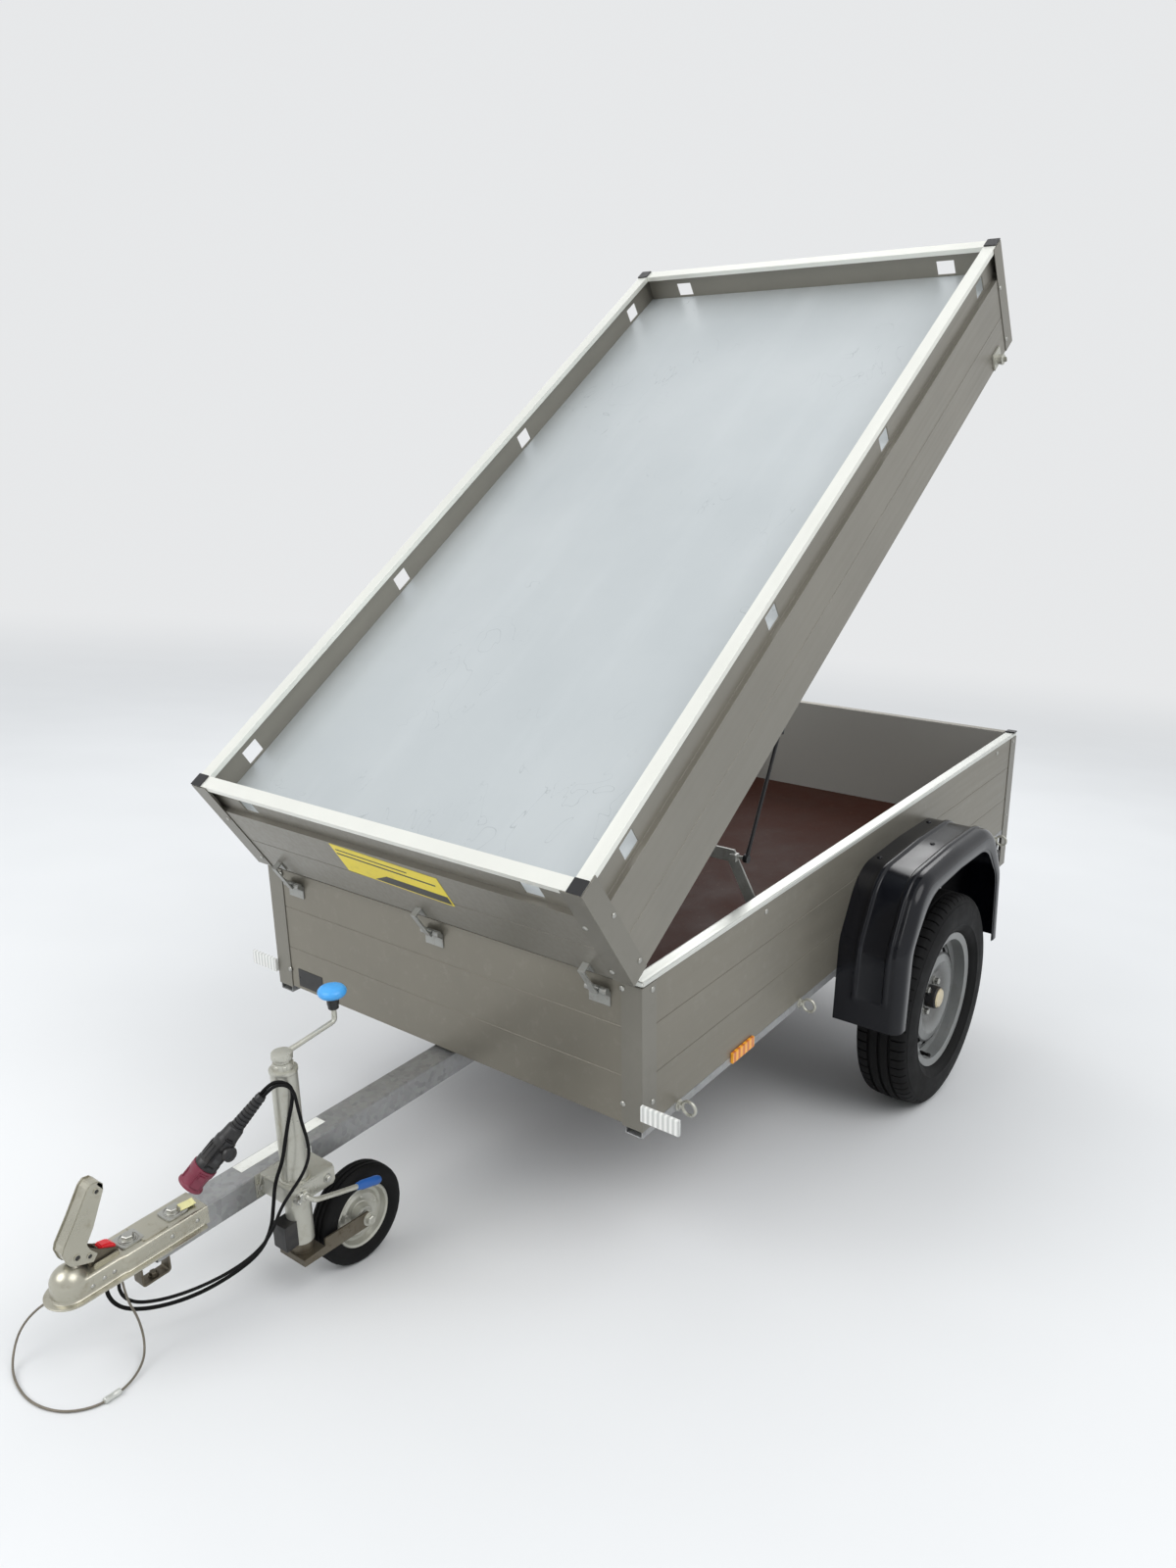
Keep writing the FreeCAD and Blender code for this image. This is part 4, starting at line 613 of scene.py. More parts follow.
def smooth(mesh, degrees):
    for polygon in mesh.polygons:
        polygon.use_smooth = True
    mesh.set_sharp_from_angle(angle=math.radians(degrees))


def show(name, mesh, material, node, slot, body, degrees):
    """Puts a mesh on a body, in its material, in place of a CAD node if one is named. The slot is looked up
    but not set.
    """
    slot = slot or SLOTS[material]
    smooth(mesh, degrees)
    mesh.materials.clear()
    mesh.materials.append(MATERIALS[material])
    made = bpy.data.objects.new(name, mesh)
    bpy.context.scene.collection.objects.link(made)
    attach(made, body)
    if node:
        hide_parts(node)
    return made


def piece(name, bm, material, node="", slot="", body="chassis", place=LEVEL, degrees=32):
    """Ends a mesh that was modelled in millimetres and shows it on a body."""
    bm.transform(place)
    bmesh.ops.recalc_face_normals(bm, faces=bm.faces)
    mesh = bpy.data.meshes.new(name)
    bm.to_mesh(mesh)
    bm.free()
    return show(name, mesh, material, node, slot, body, degrees)


def soften(node, material, width, slot=""):
    """Shows a CAD node's form with its sharp edges rounded by a width in millimetres."""
    bm = bmesh.new()
    bm.from_mesh(NODES[node].data)
    bmesh.ops.remove_doubles(bm, verts=bm.verts, dist=2e-5)
    bmesh.ops.dissolve_limit(bm, angle_limit=math.radians(0.6), verts=bm.verts, edges=bm.edges)
    sharp = [edge for edge in bm.edges
             if len(edge.link_faces) == 2 and edge.calc_face_angle() > math.radians(38)]
    bmesh.ops.bevel(bm, geom=sharp, offset=width * 0.001, segments=2, affect="EDGES", clamp_overlap=True)
    bmesh.ops.recalc_face_normals(bm, faces=bm.faces)
    mesh = bpy.data.meshes.new(node + "_look")
    bm.to_mesh(mesh)
    bm.free()
    flat_stays_flat(show(node + "_look", mesh, material, node, slot, NODES[node]["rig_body"], 32))


def flat_stays_flat(made):
    """Lets the large faces set the normals that they share with the narrow ones round them."""
    weighted = made.modifiers.new("weighted_normals", "WEIGHTED_NORMAL")
    weighted.mode = "FACE_AREA"
    weighted.weight = 90
    weighted.keep_sharp = True


# CAD nodes with rounded edges: node, material, edge width in millimetres, slot if not the material's own
SOFTENED = (
    ("drawbar", "galvanised", 3), ("side_rails", "galvanised", 1.2), ("cross_members", "galvanised", 1.5),
    ("axle_beam", "galvanised", 2.5), ("axle_arms", "galvanised", 1.5), ("rim_left", "rim", 0.8),
    ("rim_right", "rim", 0.8), ("hub_left", "hub", 0.8), ("hub_right", "hub", 0.8),
    ("panel_left", "panel", 0.5), ("panel_right", "panel", 0.5), ("panel_front", "panel", 0.5),
    ("floor_board", "plywood", 0.5), ("top_rails", "rail", 2), ("corner_posts", "post", 0.6),
    ("rear_caps", "black", 1.5), ("tailgate_panel", "panel", 0.6), ("tailgate_leaves", "dark_steel", 0.6),
    ("tailgate_hinges", "dark_steel", 0.6), ("lid_side_left", "lid_wall", 0.8),
    ("lid_side_right", "lid_wall", 0.8), ("lid_end_front", "lid_wall", 0.8),
    ("lid_end_rear", "lid_wall", 0.8), ("lid_sheet", "sheet", 0.4), ("lid_posts", "post", 0.6),
    ("lid_caps", "black", 1), ("lid_brackets", "hinge", 0.6), ("hinge_bases", "hinge", 0.6),
    ("strut_cylinder_left", "black_steel", 0.6), ("strut_cylinder_right", "black_steel", 0.6),
    ("strut_rod_left", "black_steel", 0.5), ("strut_rod_right", "black_steel", 0.5),
    ("strut_hoop", "hinge", 0.8, "post_aluminium"), ("jockey_tube", "zinc", 1),
    ("jockey_leg", "dull_zinc", 1), ("jockey_rim", "zinc", 0.6), ("cable_holders", "black", 1.5),
    ("front_markers", "white_lens", 1.2), ("side_reflectors", "orange_lens", 1),
    ("lamp_bar", "galvanised", 1.5))


def on_floor(x, y, height):
    """A level-frame point at a height over the floor that the parked trailer stands on."""
    z = WHEEL.z + ((x - WHEEL.x) * math.sin(TILT) - WHEEL.z + height) / math.cos(TILT)
    return Vector((x, y, z))


# Tyres

def tyre_mesh(bm, centre, profile, pitches, sipe, shoulder):
    """A tyre as a net of points. Each pitch of the tread has a cut, sipe deep, beyond the shoulder."""
    steps = (0, 0.06, 0.085, 0.185, 0.21, 0.6)
    cut_steps = (0.085, 0.185)
    columns = []
    for pitch in range(pitches):
        for step in steps:
            angle = 2 * math.pi * (pitch + step) / pitches
            out = Vector((math.cos(angle), 0, math.sin(angle)))
            column = []
            for along, radius, kind in profile:
                if kind == "tread" and step in cut_steps and abs(along) > shoulder:
                    radius -= sipe
                column.append(bm.verts.new(Vector(centre) + out * radius + LEFT * along))
            columns.append(column)
    bridge(bm, columns, closed=True, around=False)


# Half of the road tyre's section from its middle to its bead: distance along the axle, radius, kind
ROAD_SECTION = (
    (0, 278, "groove"), (3.6, 278, "groove"), (4.6, 285, "rib"), (13, 284.9, "rib"),
    (22.6, 284.7, "rib"), (23.6, 278, "groove"), (30.4, 278, "groove"), (31.4, 284.4, "tread"),
    (42, 283.8, "tread"), (51, 282.6, "tread"), (57, 280, "tread"), (61.5, 275.5, "tread"),
    (64.5, 269.5, "side"), (66.6, 263, "side"), (67.6, 262.4, "side"), (70.6, 246, "side"),
    (72, 232, "side"), (72.4, 222, "side"), (71.4, 210, "side"), (71.8, 208.5, "side"),
    (71.4, 206, "side"), (69, 203.5, "side"), (66, 196, "side"), (61, 188, "side"),
    (55.5, 184, "side"), (51, 180, "side"), (49, 172, "side"), (48, 167, "side"))
JOCKEY_SECTION = (
    (0, 97.2, "groove"), (2, 97.2, "groove"), (2.8, 100, "rib"), (8, 99.9, "rib"), (8.8, 97.6, "groove"),
    (11.6, 97.6, "groove"), (12.4, 99.4, "rib"), (17, 98, "rib"), (21, 94.6, "side"), (23.6, 89, "side"),
    (25, 81, "side"), (24.6, 74, "side"), (22, 68, "side"), (19, 65, "side"), (17, 62.5, "side"))


def both_ways(half):
    """A half section and its mirror as one line of points."""
    return [(-along, radius, kind) for along, radius, kind in reversed(half[1:])] + list(half)


TRACK_HALF = 615
NUT_CIRCLE = 44


def tyres():
    for side, way in (("left", 1), ("right", -1)):
        y = way * TRACK_HALF
        bm = bmesh.new()
        tyre_mesh(bm, (WHEEL.x, y, WHEEL.z), both_ways(ROAD_SECTION), 64, 4.5, 30)
        piece("tyre_%s_look" % side, bm, "tyre", "tyre_" + side, body="wheel_" + side, degrees=28)
        valve = bmesh.new()
        at = Vector((WHEEL.x + 96, y + way * 40, WHEEL.z - 118))
        capped(valve, ((5.6, 0), (5.2, 12), (3.8, 18), (3.8, 26), (4.6, 27), (4.6, 35)), at,
               (0.5, way, 0.3), 14)
        piece("valve_" + side, valve, "tyre", body="wheel_" + side)
        end = bmesh.new()
        spin(end, ((26.4, 41), (26.4, 44.4), (24, 46.4), (23, 47.6), (0, 48.4)), (WHEEL.x, y, WHEEL.z),
             LEFT * way, 36)
        piece("hub_end_" + side, end, "hub_end", body="wheel_" + side)
        nuts = bmesh.new()
        for k in range(4):
            angle = math.pi / 2 * (k + 0.5)
            spot = Vector((WHEEL.x + NUT_CIRCLE * math.cos(angle), y + way * 16,
                           WHEEL.z + NUT_CIRCLE * math.sin(angle)))
            capped(nuts, ((11, 0), (11, 2.6), (10.2, 3.2)), spot, LEFT * way, 20)
            capped(nuts, ((9.2, 3), (9.2, 12.6), (7.6, 14.4)), spot, LEFT * way, 6)
        piece("wheel_nuts_" + side, nuts, "bolt", slot="hub_steel", body="wheel_" + side)
    bm = bmesh.new()
    tyre_mesh(bm, (JOCKEY_WHEEL.x, JOCKEY_Y, JOCKEY_WHEEL.z), both_ways(JOCKEY_SECTION), 16, 0, 90)
    piece("jockey_tyre_look", bm, "tyre", "jockey_tyre", slot="jockey_rubber", body="jockey_wheel",
          degrees=30)


# Mudguards

GUARD_FRONT = -812
GUARD_REAR = -1522
GUARD_TOP = 724
GUARD_FOOT = 356
GUARD_SKIRT = 50
GUARD_FLANGE = 24
GUARD_SKIN = 4
GUARD_SHOULDER = 26
GUARD_WIDTH = 170
GUARD_FOLD = 425
# Where the arch's straight runs are divided, as shares of each run from the front foot to the rear one
LEG_SHARES = (0.15, 0.3, 0.345, 0.37, 0.395, 0.425, 0.56, 0.71, 0.735, 0.87)
GUARD_RUNS = (LEG_SHARES, (0.25, 0.5, 0.75), (0.2, 0.4, 0.6, 0.8), (0.2, 0.4, 0.6, 0.8), (0.25, 0.5, 0.75),
              tuple(1 - share for share in reversed(LEG_SHARES)))
# The pressed bands on top of the guard: across it from the box, and their rise over the foot's surface
GUARD_BANDS = ((0, 0), (3, 0), (30, 0), (41, 0), (43, 0.5), (44.8, 3.4), (46.4, 4), (53.6, 4), (55.2, 3.4),
               (57, 0), (59, -1.4), (61, -1.8), (90, -2), (117, -1.8), (119, -1.4), (121, 0), (122.8, 2.4),
               (124.4, 3), (131.6, 3), (133.4, 2.4), (135.4, 0.3), (138, 0))


def rounded_path(corners, runs, steps=9):
    """Points in X and Z along straight runs, divided at their shares, that are joined by arcs."""
    places = [Vector((x, 0, z)) for x, z, radius in corners]
    arcs = []
    for i, (x, z, radius) in enumerate(corners):
        if radius <= 0:
            arcs.append([places[i]])
            continue
        back = (places[i - 1] - places[i]).normalized()
        on = (places[i + 1] - places[i]).normalized()
        half = back.angle(on) / 2
        reach = radius / math.tan(half)
        centre = places[i] + (back + on).normalized() * (radius / math.sin(half))
        first = places[i] + back * reach - centre
        last = places[i] + on * reach - centre
        turn = math.pi - 2 * half
        arcs.append([centre + (first * math.sin(turn * (1 - k / steps)) + last * math.sin(turn * k / steps))
                     / math.sin(turn) for k in range(steps + 1)])
    points = list(arcs[0])
    for shares, before, after in zip(runs, arcs, arcs[1:]):
        points += [before[-1].lerp(after[0], share) for share in shares]
        points += after
    return points


def guard_path(grow):
    """The arch seen from the side, grown outward."""
    front = GUARD_FRONT + grow
    rear = GUARD_REAR - grow
    top = GUARD_TOP + grow
    return rounded_path(((front - 7.2, GUARD_FOOT, 0), (front - 22, 560, 100), (front - 115, top - 7, 120),
                         ((front + rear) / 2, top, 0), (rear + 115, top - 7, 120), (rear + 22, 560, 100),
                         (rear + 7.2, GUARD_FOOT, 0)), GUARD_RUNS)


def guard_section(flange):
    """The guard's wall cut across, as a closed loop: across from the box, outward, rise of its bands."""
    loop = [(across, 0, rise) for across, rise in GUARD_BANDS]
    centre = GUARD_WIDTH - GUARD_SHOULDER
    inner = GUARD_SHOULDER - GUARD_SKIN
    turns = [math.pi / 2 * k / 7 for k in range(8)]
    for turn in turns:
        loop.append((centre + GUARD_SHOULDER * math.sin(turn), GUARD_SHOULDER * (math.cos(turn) - 1), 0))
    loop += [(GUARD_WIDTH, 7 - GUARD_SKIRT, 0), (GUARD_WIDTH - 0.6, 5.6 - GUARD_SKIRT, 0),
             (GUARD_WIDTH - 2, 5 - GUARD_SKIRT, 0), (GUARD_WIDTH - 2.2, -GUARD_SKIRT, 0),
             (GUARD_WIDTH - GUARD_SKIN, -GUARD_SKIRT, 0)]
    for turn in reversed(turns):
        loop.append((centre + inner * math.sin(turn), inner * math.cos(turn) - GUARD_SHOULDER, 0))
    loop += [(90, -GUARD_SKIN, 0), (GUARD_SKIN, -GUARD_SKIN, 0), (GUARD_SKIN, -flange, 0), (0, -flange, 0)]
    return loop


def eased(value, start, end):
    """A smooth step from 0 at the start to 1 at the end."""
    share = min(max((value - start) / (end - start), 0), 1)
    return share * share * (3 - 2 * share)


def mudguard(side, way):
    """A moulded arch with a round shoulder and a skirt; its pressed bands end in a fold above each foot."""
    bm = bmesh.new()
    path = guard_path(0)
    skirt = guard_path(-GUARD_SKIRT)
    upper_skirt = GUARD_SHOULDER + 4
    rows = []
    for i, point in enumerate(path):
        at_end = i in (0, len(path) - 1)
        along = (path[min(i + 1, len(path) - 1)] - path[max(i - 1, 0)]).normalized()
        outward = Vector((-along.z, 0, along.x))
        if outward.dot(point - skirt[i]) < 0:
            outward = -outward
        share = eased(point.z, GUARD_FOLD - 6, GUARD_FOLD + 6)
        flange = GUARD_FLANGE if point.z > BOX_BASE else GUARD_SKIN + 0.5
        row = []
        for across, out, rise in guard_section(flange):
            place = point + outward * (out + rise * share)
            if out < -upper_skirt:
                shoulder_foot = point - outward * upper_skirt
                place = shoulder_foot.lerp(skirt[i], (-out - upper_skirt) / (GUARD_SKIRT - upper_skirt))
            height = GUARD_FOOT if at_end else place.z
            row.append(bm.verts.new((place.x, way * (HALF_OUT + across), height)))
        rows.append(row)
    bridge(bm, rows)
    bm.faces.new(rows[0])
    bm.faces.new(rows[-1])
    for x, across, z in ((-1010, 16, 719.4), (-1324, 16, 719.4), (-1167, 89, 722)):
        dome(bm, (x, way * (HALF_OUT + across), z), UP, 6.5, 3.6)
    piece("mudguard_%s_look" % side, bm, "guard", "mudguard_" + side, degrees=30)


def dome(bm, point, axis, radius, height, segments=14):
    """A round-headed bolt or rivet."""
    profile = ((radius, -0.5), (radius, height * 0.25), (radius * 0.86, height * 0.62),
               (radius * 0.5, height * 0.93), (0, height))
    spin(bm, profile, point, axis, segments)


def hexagon(bm, point, axis, radius, height, washer=0):
    """A hexagon bolt's head, on a washer if it has one."""
    point = Vector(point)
    axis = Vector(axis).normalized()
    if washer:
        capped(bm, ((washer, 0), (washer, 1.6), (washer - 0.6, 2)), point, axis, 24)
        point = point + axis * 2
    capped(bm, ((radius, 0), (radius, height * 0.85), (radius * 0.86, height)), point, axis, 6)


# Coupling

BALL_X = 857
BRACKET_X = 716
BRACKET_Z = 401.5
# Where the coupling's hollow narrows from the drawbar's width to the ball's
HOLLOW_STEP = 779
BALL_Z = 468
COUPLING_LOW = 444
COUPLING_TOP = 478
COUPLING_NOSE = 31
DOME_RISE = 29.25
SOCKET_RADIUS = 25.25
SOCKET_WALL = 825.75
DRAWBAR_NOSE = 722
DRAWBAR_TOP = 474
# Places along the coupling: x, half width, lip width
COUPLING_PLACES = [(617, 34, 0.6), (625.5, 34, 0.6), (628, 34, 11), (631, 34, 12), (690, 34, 12),
                   (760, 34, 12), (772, 34, 12), (776, 33.2, 12.6), (780, 31.6, 13.6), (784, 31, 14),
                   (804, 31, 13), (816, 31, 12.4), (822, 31, 12.2), (825.5, 31, 12), (826, 31, 12)]
COUPLING_PLACES += [(829 + 3.5 * k, COUPLING_NOSE, 12) for k in range(9)]


def coupling_height(x, out, half, edge=6.5, blend=7):
    """The pressed top's height: flat with rounded edges, swelling into the dome over the ball."""
    over = max(0, out - (half - edge))
    flat = COUPLING_TOP - edge + math.sqrt(max(edge * edge - over * over, 0))
    inside = 1 - ((x - BALL_X) ** 2 + out ** 2) / COUPLING_NOSE ** 2
    bowl = BALL_Z + DOME_RISE * math.sqrt(max(inside, 0))
    share = min(max(0.5 + 0.5 * (bowl - flat) / blend, 0), 1)
    return flat + (bowl - flat) * share + blend * share * (1 - share) * 0.6


def coupling_half(x, half, lip):
    """From the middle of the top out and down to the lip and under it to the hollow, as (out, z)."""
    points = []
    for k in range(15):
        out = half * math.sin(math.pi / 2 * k / 14)
        points.append((out, coupling_height(x, out, half)))
    low = COUPLING_LOW
    within = half - 4
    if x > SOCKET_WALL:
        within = math.sqrt(max(SOCKET_RADIUS ** 2 - (x - BALL_X) ** 2, 0))
    points += [(half, 466), (half, low + 8), (half + min(lip, 0.8), low + 5.2),
               (half + min(lip, 2.6), low + 3.5), (half + max(lip - 1.6, 0), low + 3.1),
               (half + lip, low + 2.3), (half + lip, low + 0.7), (half + max(lip - 0.7, 0), low),
               (within, low)]
    return points


def rounded_square(x, y, half_x, half_y, corner, z):
    """A rectangle's outline with rounded corners, lying flat."""
    points = []
    for quarter, (sign_x, sign_y) in enumerate(((1, 1), (-1, 1), (-1, -1), (1, -1))):
        for k in range(5):
            turn = math.pi / 2 * (quarter + k / 4)
            points.append((x + sign_x * (half_x - corner) + corner * math.cos(turn),
                           y + sign_y * (half_y - corner) + corner * math.sin(turn), z))
    return points


def frame_plate(bm, outer, inner, depth):
    """A flat frame between two outlines with the same number of points, as thick as the depth vector."""
    depth = Vector(depth)
    loops = []
    for outline, shift in ((outer, Vector()), (outer, depth), (inner, depth), (inner, Vector())):
        loops.append([bm.verts.new(Vector(point) + shift) for point in outline])
    bridge(bm, loops, closed=True)


def coupling():
    """A pressed channel over the drawbar's nose that swells into the ball's dome, with a lip all round."""
    bm = bmesh.new()
    rows = []
    for x, width, lip in COUPLING_PLACES:
        half = coupling_half(x, width, lip)
        rows.append([bm.verts.new((x, -out, z)) for out, z in reversed(half[1:])]
                    + [bm.verts.new((x, out, z)) for out, z in half])
    bridge(bm, rows, around=False)
    last = rows[-1]
    half = coupling_half(*COUPLING_PLACES[-1])
    top = last[len(half) - 1]
    arcs = [last[len(half) - 1:]]
    count = 24
    for k in range(1, count):
        angle = math.pi / 2 - math.pi * k / count
        ahead, aside = math.cos(angle), math.sin(angle)
        arcs.append([top] + [bm.verts.new((BALL_X + out * ahead, out * aside, z)) for out, z in half[1:]])
    arcs.append(list(reversed(last[:len(half)])))
    bridge(bm, arcs, around=False)
    slab(bm, rounded_square(714, 0, 24, 28, 5, 476.5), (0, 0, 3.7), 1)
    lug = ((777, 476), (777, 481), (780, 484), (820, 484), (823, 481), (823, 476))
    for y in (-18, 15):
        slab(bm, [(x, y, z) for x, z in lug], (0, 3, 0), 0.8)
    piece("coupling_body_look", bm, "coupling", "coupling_body", degrees=38)
    fittings = bmesh.new()
    for x in (664, 750):
        slab(fittings, rounded_square(x, 0, 21, 19, 6, 477.6), (0, 0, 3.2), 0.9)
        spin(fittings, ((17, 480.6), (16.6, 481.8), (15.4, 481.8), (15, 480.7)), (x, 0, 0), UP, 32)
        hexagon(fittings, (x, 0, 480.6), UP, 10.4, 6.4, washer=13)
    for x, z, width in ((640, 461, 34), (690, 461, 34), (797, 460, 31), (815, 460, 31), (836, 458, 31)):
        for way in (1, -1):
            dome(fittings, (x, way * (width - 0.4), z), LEFT * way, 4.2, 2)
    piece("coupling_bolts", fittings, "bolt")
    socket = bmesh.new()
    spin(socket, ((SOCKET_RADIUS, COUPLING_LOW - BALL_Z), (SOCKET_RADIUS, 0), (23.6, 9), (17, 18.6),
                  (8, 24), (0, SOCKET_RADIUS)), (BALL_X, 0, BALL_Z), UP, 32)
    for start, finish, wide in ((DRAWBAR_NOSE, HOLLOW_STEP, 30), (HOLLOW_STEP, SOCKET_WALL, 27)):
        line = ((-wide, COUPLING_LOW), (-wide, DRAWBAR_TOP), (wide, DRAWBAR_TOP), (wide, COUPLING_LOW))
        near = [socket.verts.new((start, y, z)) for y, z in line]
        far = [socket.verts.new((finish, y, z)) for y, z in line]
        for k in range(3):
            socket.faces.new((near[k], near[k + 1], far[k + 1], far[k]))
    socket.faces.new(far)
    piece("coupling_inside", socket, "dull_zinc")
    bracket = bmesh.new()
    outlines = []
    for half_x, half_z, corner in ((28, 22.5, 7), (24, 18.5, 3.5)):
        flat = rounded_square(BRACKET_X, BRACKET_Z, half_x, half_z, corner, 0)
        outlines.append([(x, -12, z) for x, z, y in flat])
    frame_plate(bracket, *outlines, (0, 24, 0))
    hexagon(bracket, (BRACKET_X, 0, BRACKET_Z - 17.5), UP, 7, 5, washer=9)
    piece("coupling_bracket_look", bracket, "dull_zinc", "coupling_bracket")
    tag = bmesh.new()
    slab(tag, ((628, -4, 481.2), (652, -8, 481.4), (656, 12, 481.4), (632, 16, 481.2)), (0, 0, 0.6), 0)
    slab(tag, ((624, -2, 482.6), (629, -4, 481.8), (633, 15, 481.8), (628, 17, 482.6)), (0, 0, 0.6), 0)
    piece("coupling_tag", tag, "tag")


# The handle seen from the side, as steps from the ball: ahead, up, and for its holes their radius
HANDLE_HOLES = ((-60, 141, 5.2), (-12, 44, 6), (-32, 34, 5.2))
HANDLE_OUTLINE = ((-37, 19), (-46, 30), (-35, 44), (-31, 56), (-46, 80), (-72, 136), (-73, 148), (-66, 156),
                  (-54, 158), (-45, 151), (-19, 110), (7, 73), (11, 62), (6, 43), (0, 34), (-18, 26))
LINK_OUTLINE = ((-82, 10), (-32, 10), (-22, 40), (-30, 50), (-50, 34), (-82, 18))


def handle():
    """The lever that opens the coupling: two pressed cheeks joined along a recessed front, on its links."""
    bm = bmesh.new()
    outline = [Vector((BALL_X + ahead, 0, BALL_Z + up)) for ahead, up in HANDLE_OUTLINE]
    for y in (-15, 11.5):
        slab(bm, [point + LEFT * y for point in outline], (0, 3.5, 0), 1)
    spine = outline[6:15]
    for first, second in zip(spine, spine[1:]):
        run = (second - first).normalized()
        inside = Vector((run.z, 0, -run.x))
        start = first + inside * 2.2 - run * 0.6 - LEFT * 12
        end = second + inside * 2.2 + run * 0.6 - LEFT * 12
        slab(bm, (start, end, end + inside * 3.5, start + inside * 3.5), (0, 24, 0), 0.6, 1)
    slab(bm, [outline[k] + LEFT * -15 for k in (5, 6, 7)] + [outline[7] + Vector((4, -15, -4))], (0, 30, 0),
         0.6, 1)
    # painted shade: black discs fill the holes in the handle's cheeks
    hole_shade_discs = bmesh.new()
    for ahead, up, radius in HANDLE_HOLES:
        for way in (1, -1):
            spot = (BALL_X + ahead, way * 14.8, BALL_Z + up)
            spin(bm, ((radius, 0), (radius, 1.4), (radius - 1.4, 1.6), (radius - 1.8, 0.3)), spot,
                 LEFT * way, 20)
            spin(hole_shade_discs, ((radius - 1.8, 0.3), (0, 0.3)), spot, LEFT * way, 16)
    piece("coupling_handle_look", bm, "coupling", "coupling_handle", degrees=30)
    piece("handle_hole_shade", hole_shade_discs, "black", slot="zinc_steel")
    links = bmesh.new()
    for y in (-12, 9):
        slab(links, [(BALL_X + ahead, y, BALL_Z + up) for ahead, up in LINK_OUTLINE], (0, 3, 0), 0.5, 1)
    sweep(links, [(786 + k * 1.9, 6.5 * math.cos(k * 1.2), 492 + 6.5 * math.sin(k * 1.2) + k * 0.5)
                  for k in range(22)], 1.3, 6)
    piece("handle_link", links, "dull_zinc")
    mark = bmesh.new()
    outline = ((779, 481), (775, 489), (784, 499), (801, 503), (806, 495), (792, 482))
    slab(mark, [(x, -8.5, z) for x, z in outline], (0, 17, 0), 1.6)
    piece("coupling_indicator", mark, "red")


# Plug

# The direction that the plug's latch faces, which is where the camera stands
CAMERA_SIDE = Vector((0.35, 0.9, 0.25)).normalized()


def plug():
    """The trailer's plug: a flared cup, a ribbed body with a latch and a round boss, and a ribbed boot."""
    span = (PLUG_BOOT - PLUG_FACE).length
    toward = (CAMERA_SIDE - PLUG_AXIS * CAMERA_SIDE.dot(PLUG_AXIS)).normalized()
    across = PLUG_AXIS.cross(toward)

    def bar(bm, start, finish, low, high, half, edge):
        """A block along the plug's axis on the side that faces the camera."""
        corner = PLUG_FACE + PLUG_AXIS * start + toward * low - across * half
        rib(bm, corner, across * 2 * half, PLUG_AXIS * (finish - start), toward * (high - low), edge)

    cup = bmesh.new()
    spin(cup, ((20.2, 1.2), (22.6, 0.2), (24, 0.8), (24, 3.2), (22.8, 5.4), (20.8, 7.4), (20, 12),
               (20.2, 22), (21.2, 29), (22.6, 33), (22.8, 44), (18, 45), (18, 13), (0, 13)), PLUG_FACE,
               PLUG_AXIS, 44)
    bar(cup, 9, 40, 17, 23.4, 9, 1.2)
    bar(cup, 26, 36, 20, 25.6, 6, 1)
    for turn in (1.9, 3.4, 4.6):
        side = Matrix.Rotation(turn, 3, PLUG_AXIS) @ toward
        beside = PLUG_AXIS.cross(side)
        low = PLUG_FACE + PLUG_AXIS * 8 + side * 19 - beside * 3
        rib(cup, low, beside * 6, PLUG_AXIS * 28, side * 3.4, 0.8)
    piece("plug_cap_look", cup, "burgundy", "plug_cap", degrees=34)
    pins = bmesh.new()
    for k in range(6):
        out = Matrix.Rotation(math.pi * k / 3, 3, PLUG_AXIS) @ toward * 10.5
        capped(pins, ((2.6, 5), (2.6, 13.4)), PLUG_FACE + out, PLUG_AXIS, 10)
    piece("plug_pins", pins, "zinc")
    shell = bmesh.new()
    spin(shell, ((0, 43.5), (20, 43.5), (21, 44.5), (21, 56), (20.2, 57.2), (19.6, 58), (19.4, 74),
                 (18.6, 92), (19, 94), (19, 102), (17.6, 104), (16.4, 112), (15.2, 128), (13.6, 131),
                 (12, 132), (0, 132)), PLUG_FACE, PLUG_AXIS, 44)
    for k in range(11):
        side = Matrix.Rotation(2 * math.pi * (k + 2) / 14, 3, PLUG_AXIS) @ toward
        beside = PLUG_AXIS.cross(side)
        low = PLUG_FACE + PLUG_AXIS * 61 + side * 18.4 - beside * 1.6
        rib(shell, low, beside * 3.2, PLUG_AXIS * 28, side * 2.2, 0.6, 1)
    bar(shell, 47, 112, 15, 23, 9, 2.2)
    bar(shell, 62, 90, 22, 26.6, 7, 1.4)
    bar(shell, 50, 57, 22, 25.4, 6, 1)
    boss = PLUG_FACE + PLUG_AXIS * 82 + LEFT * 14
    capped(shell, ((11, 0), (11, 11), (13.4, 12), (13.4, 17), (12.4, 18.6), (8, 18.8), (7.4, 17.6)), boss,
           LEFT, 24)
    piece("plug_body_look", shell, "black", "plug_body", degrees=34)
    window = bmesh.new()
    bar(window, 68, 75, 26.2, 26.9, 3.6, 0)
    piece("plug_window", window, "dark_print", slot="black_plastic")
    boot = bmesh.new()
    profile = [(0, 128), (12.6, 128), (12.6, 134)]
    steps = 8
    pitch = (span - 139.5) / steps
    for k in range(steps):
        radius = 12.2 - 3.2 * k / steps
        at = 134.5 + pitch * k
        profile += [(radius - 1.5, at), (radius - 1.5, at + pitch * 0.34), (radius, at + pitch * 0.46),
                    (radius, at + pitch * 0.92)]
    profile += [(8.6, span - 4), (8.2, span - 0.6), (0, span)]
    spin(boot, profile, PLUG_FACE, PLUG_AXIS, 28)
    return piece("plug_boot", boot, "black", degrees=34)



# Jockey wheel

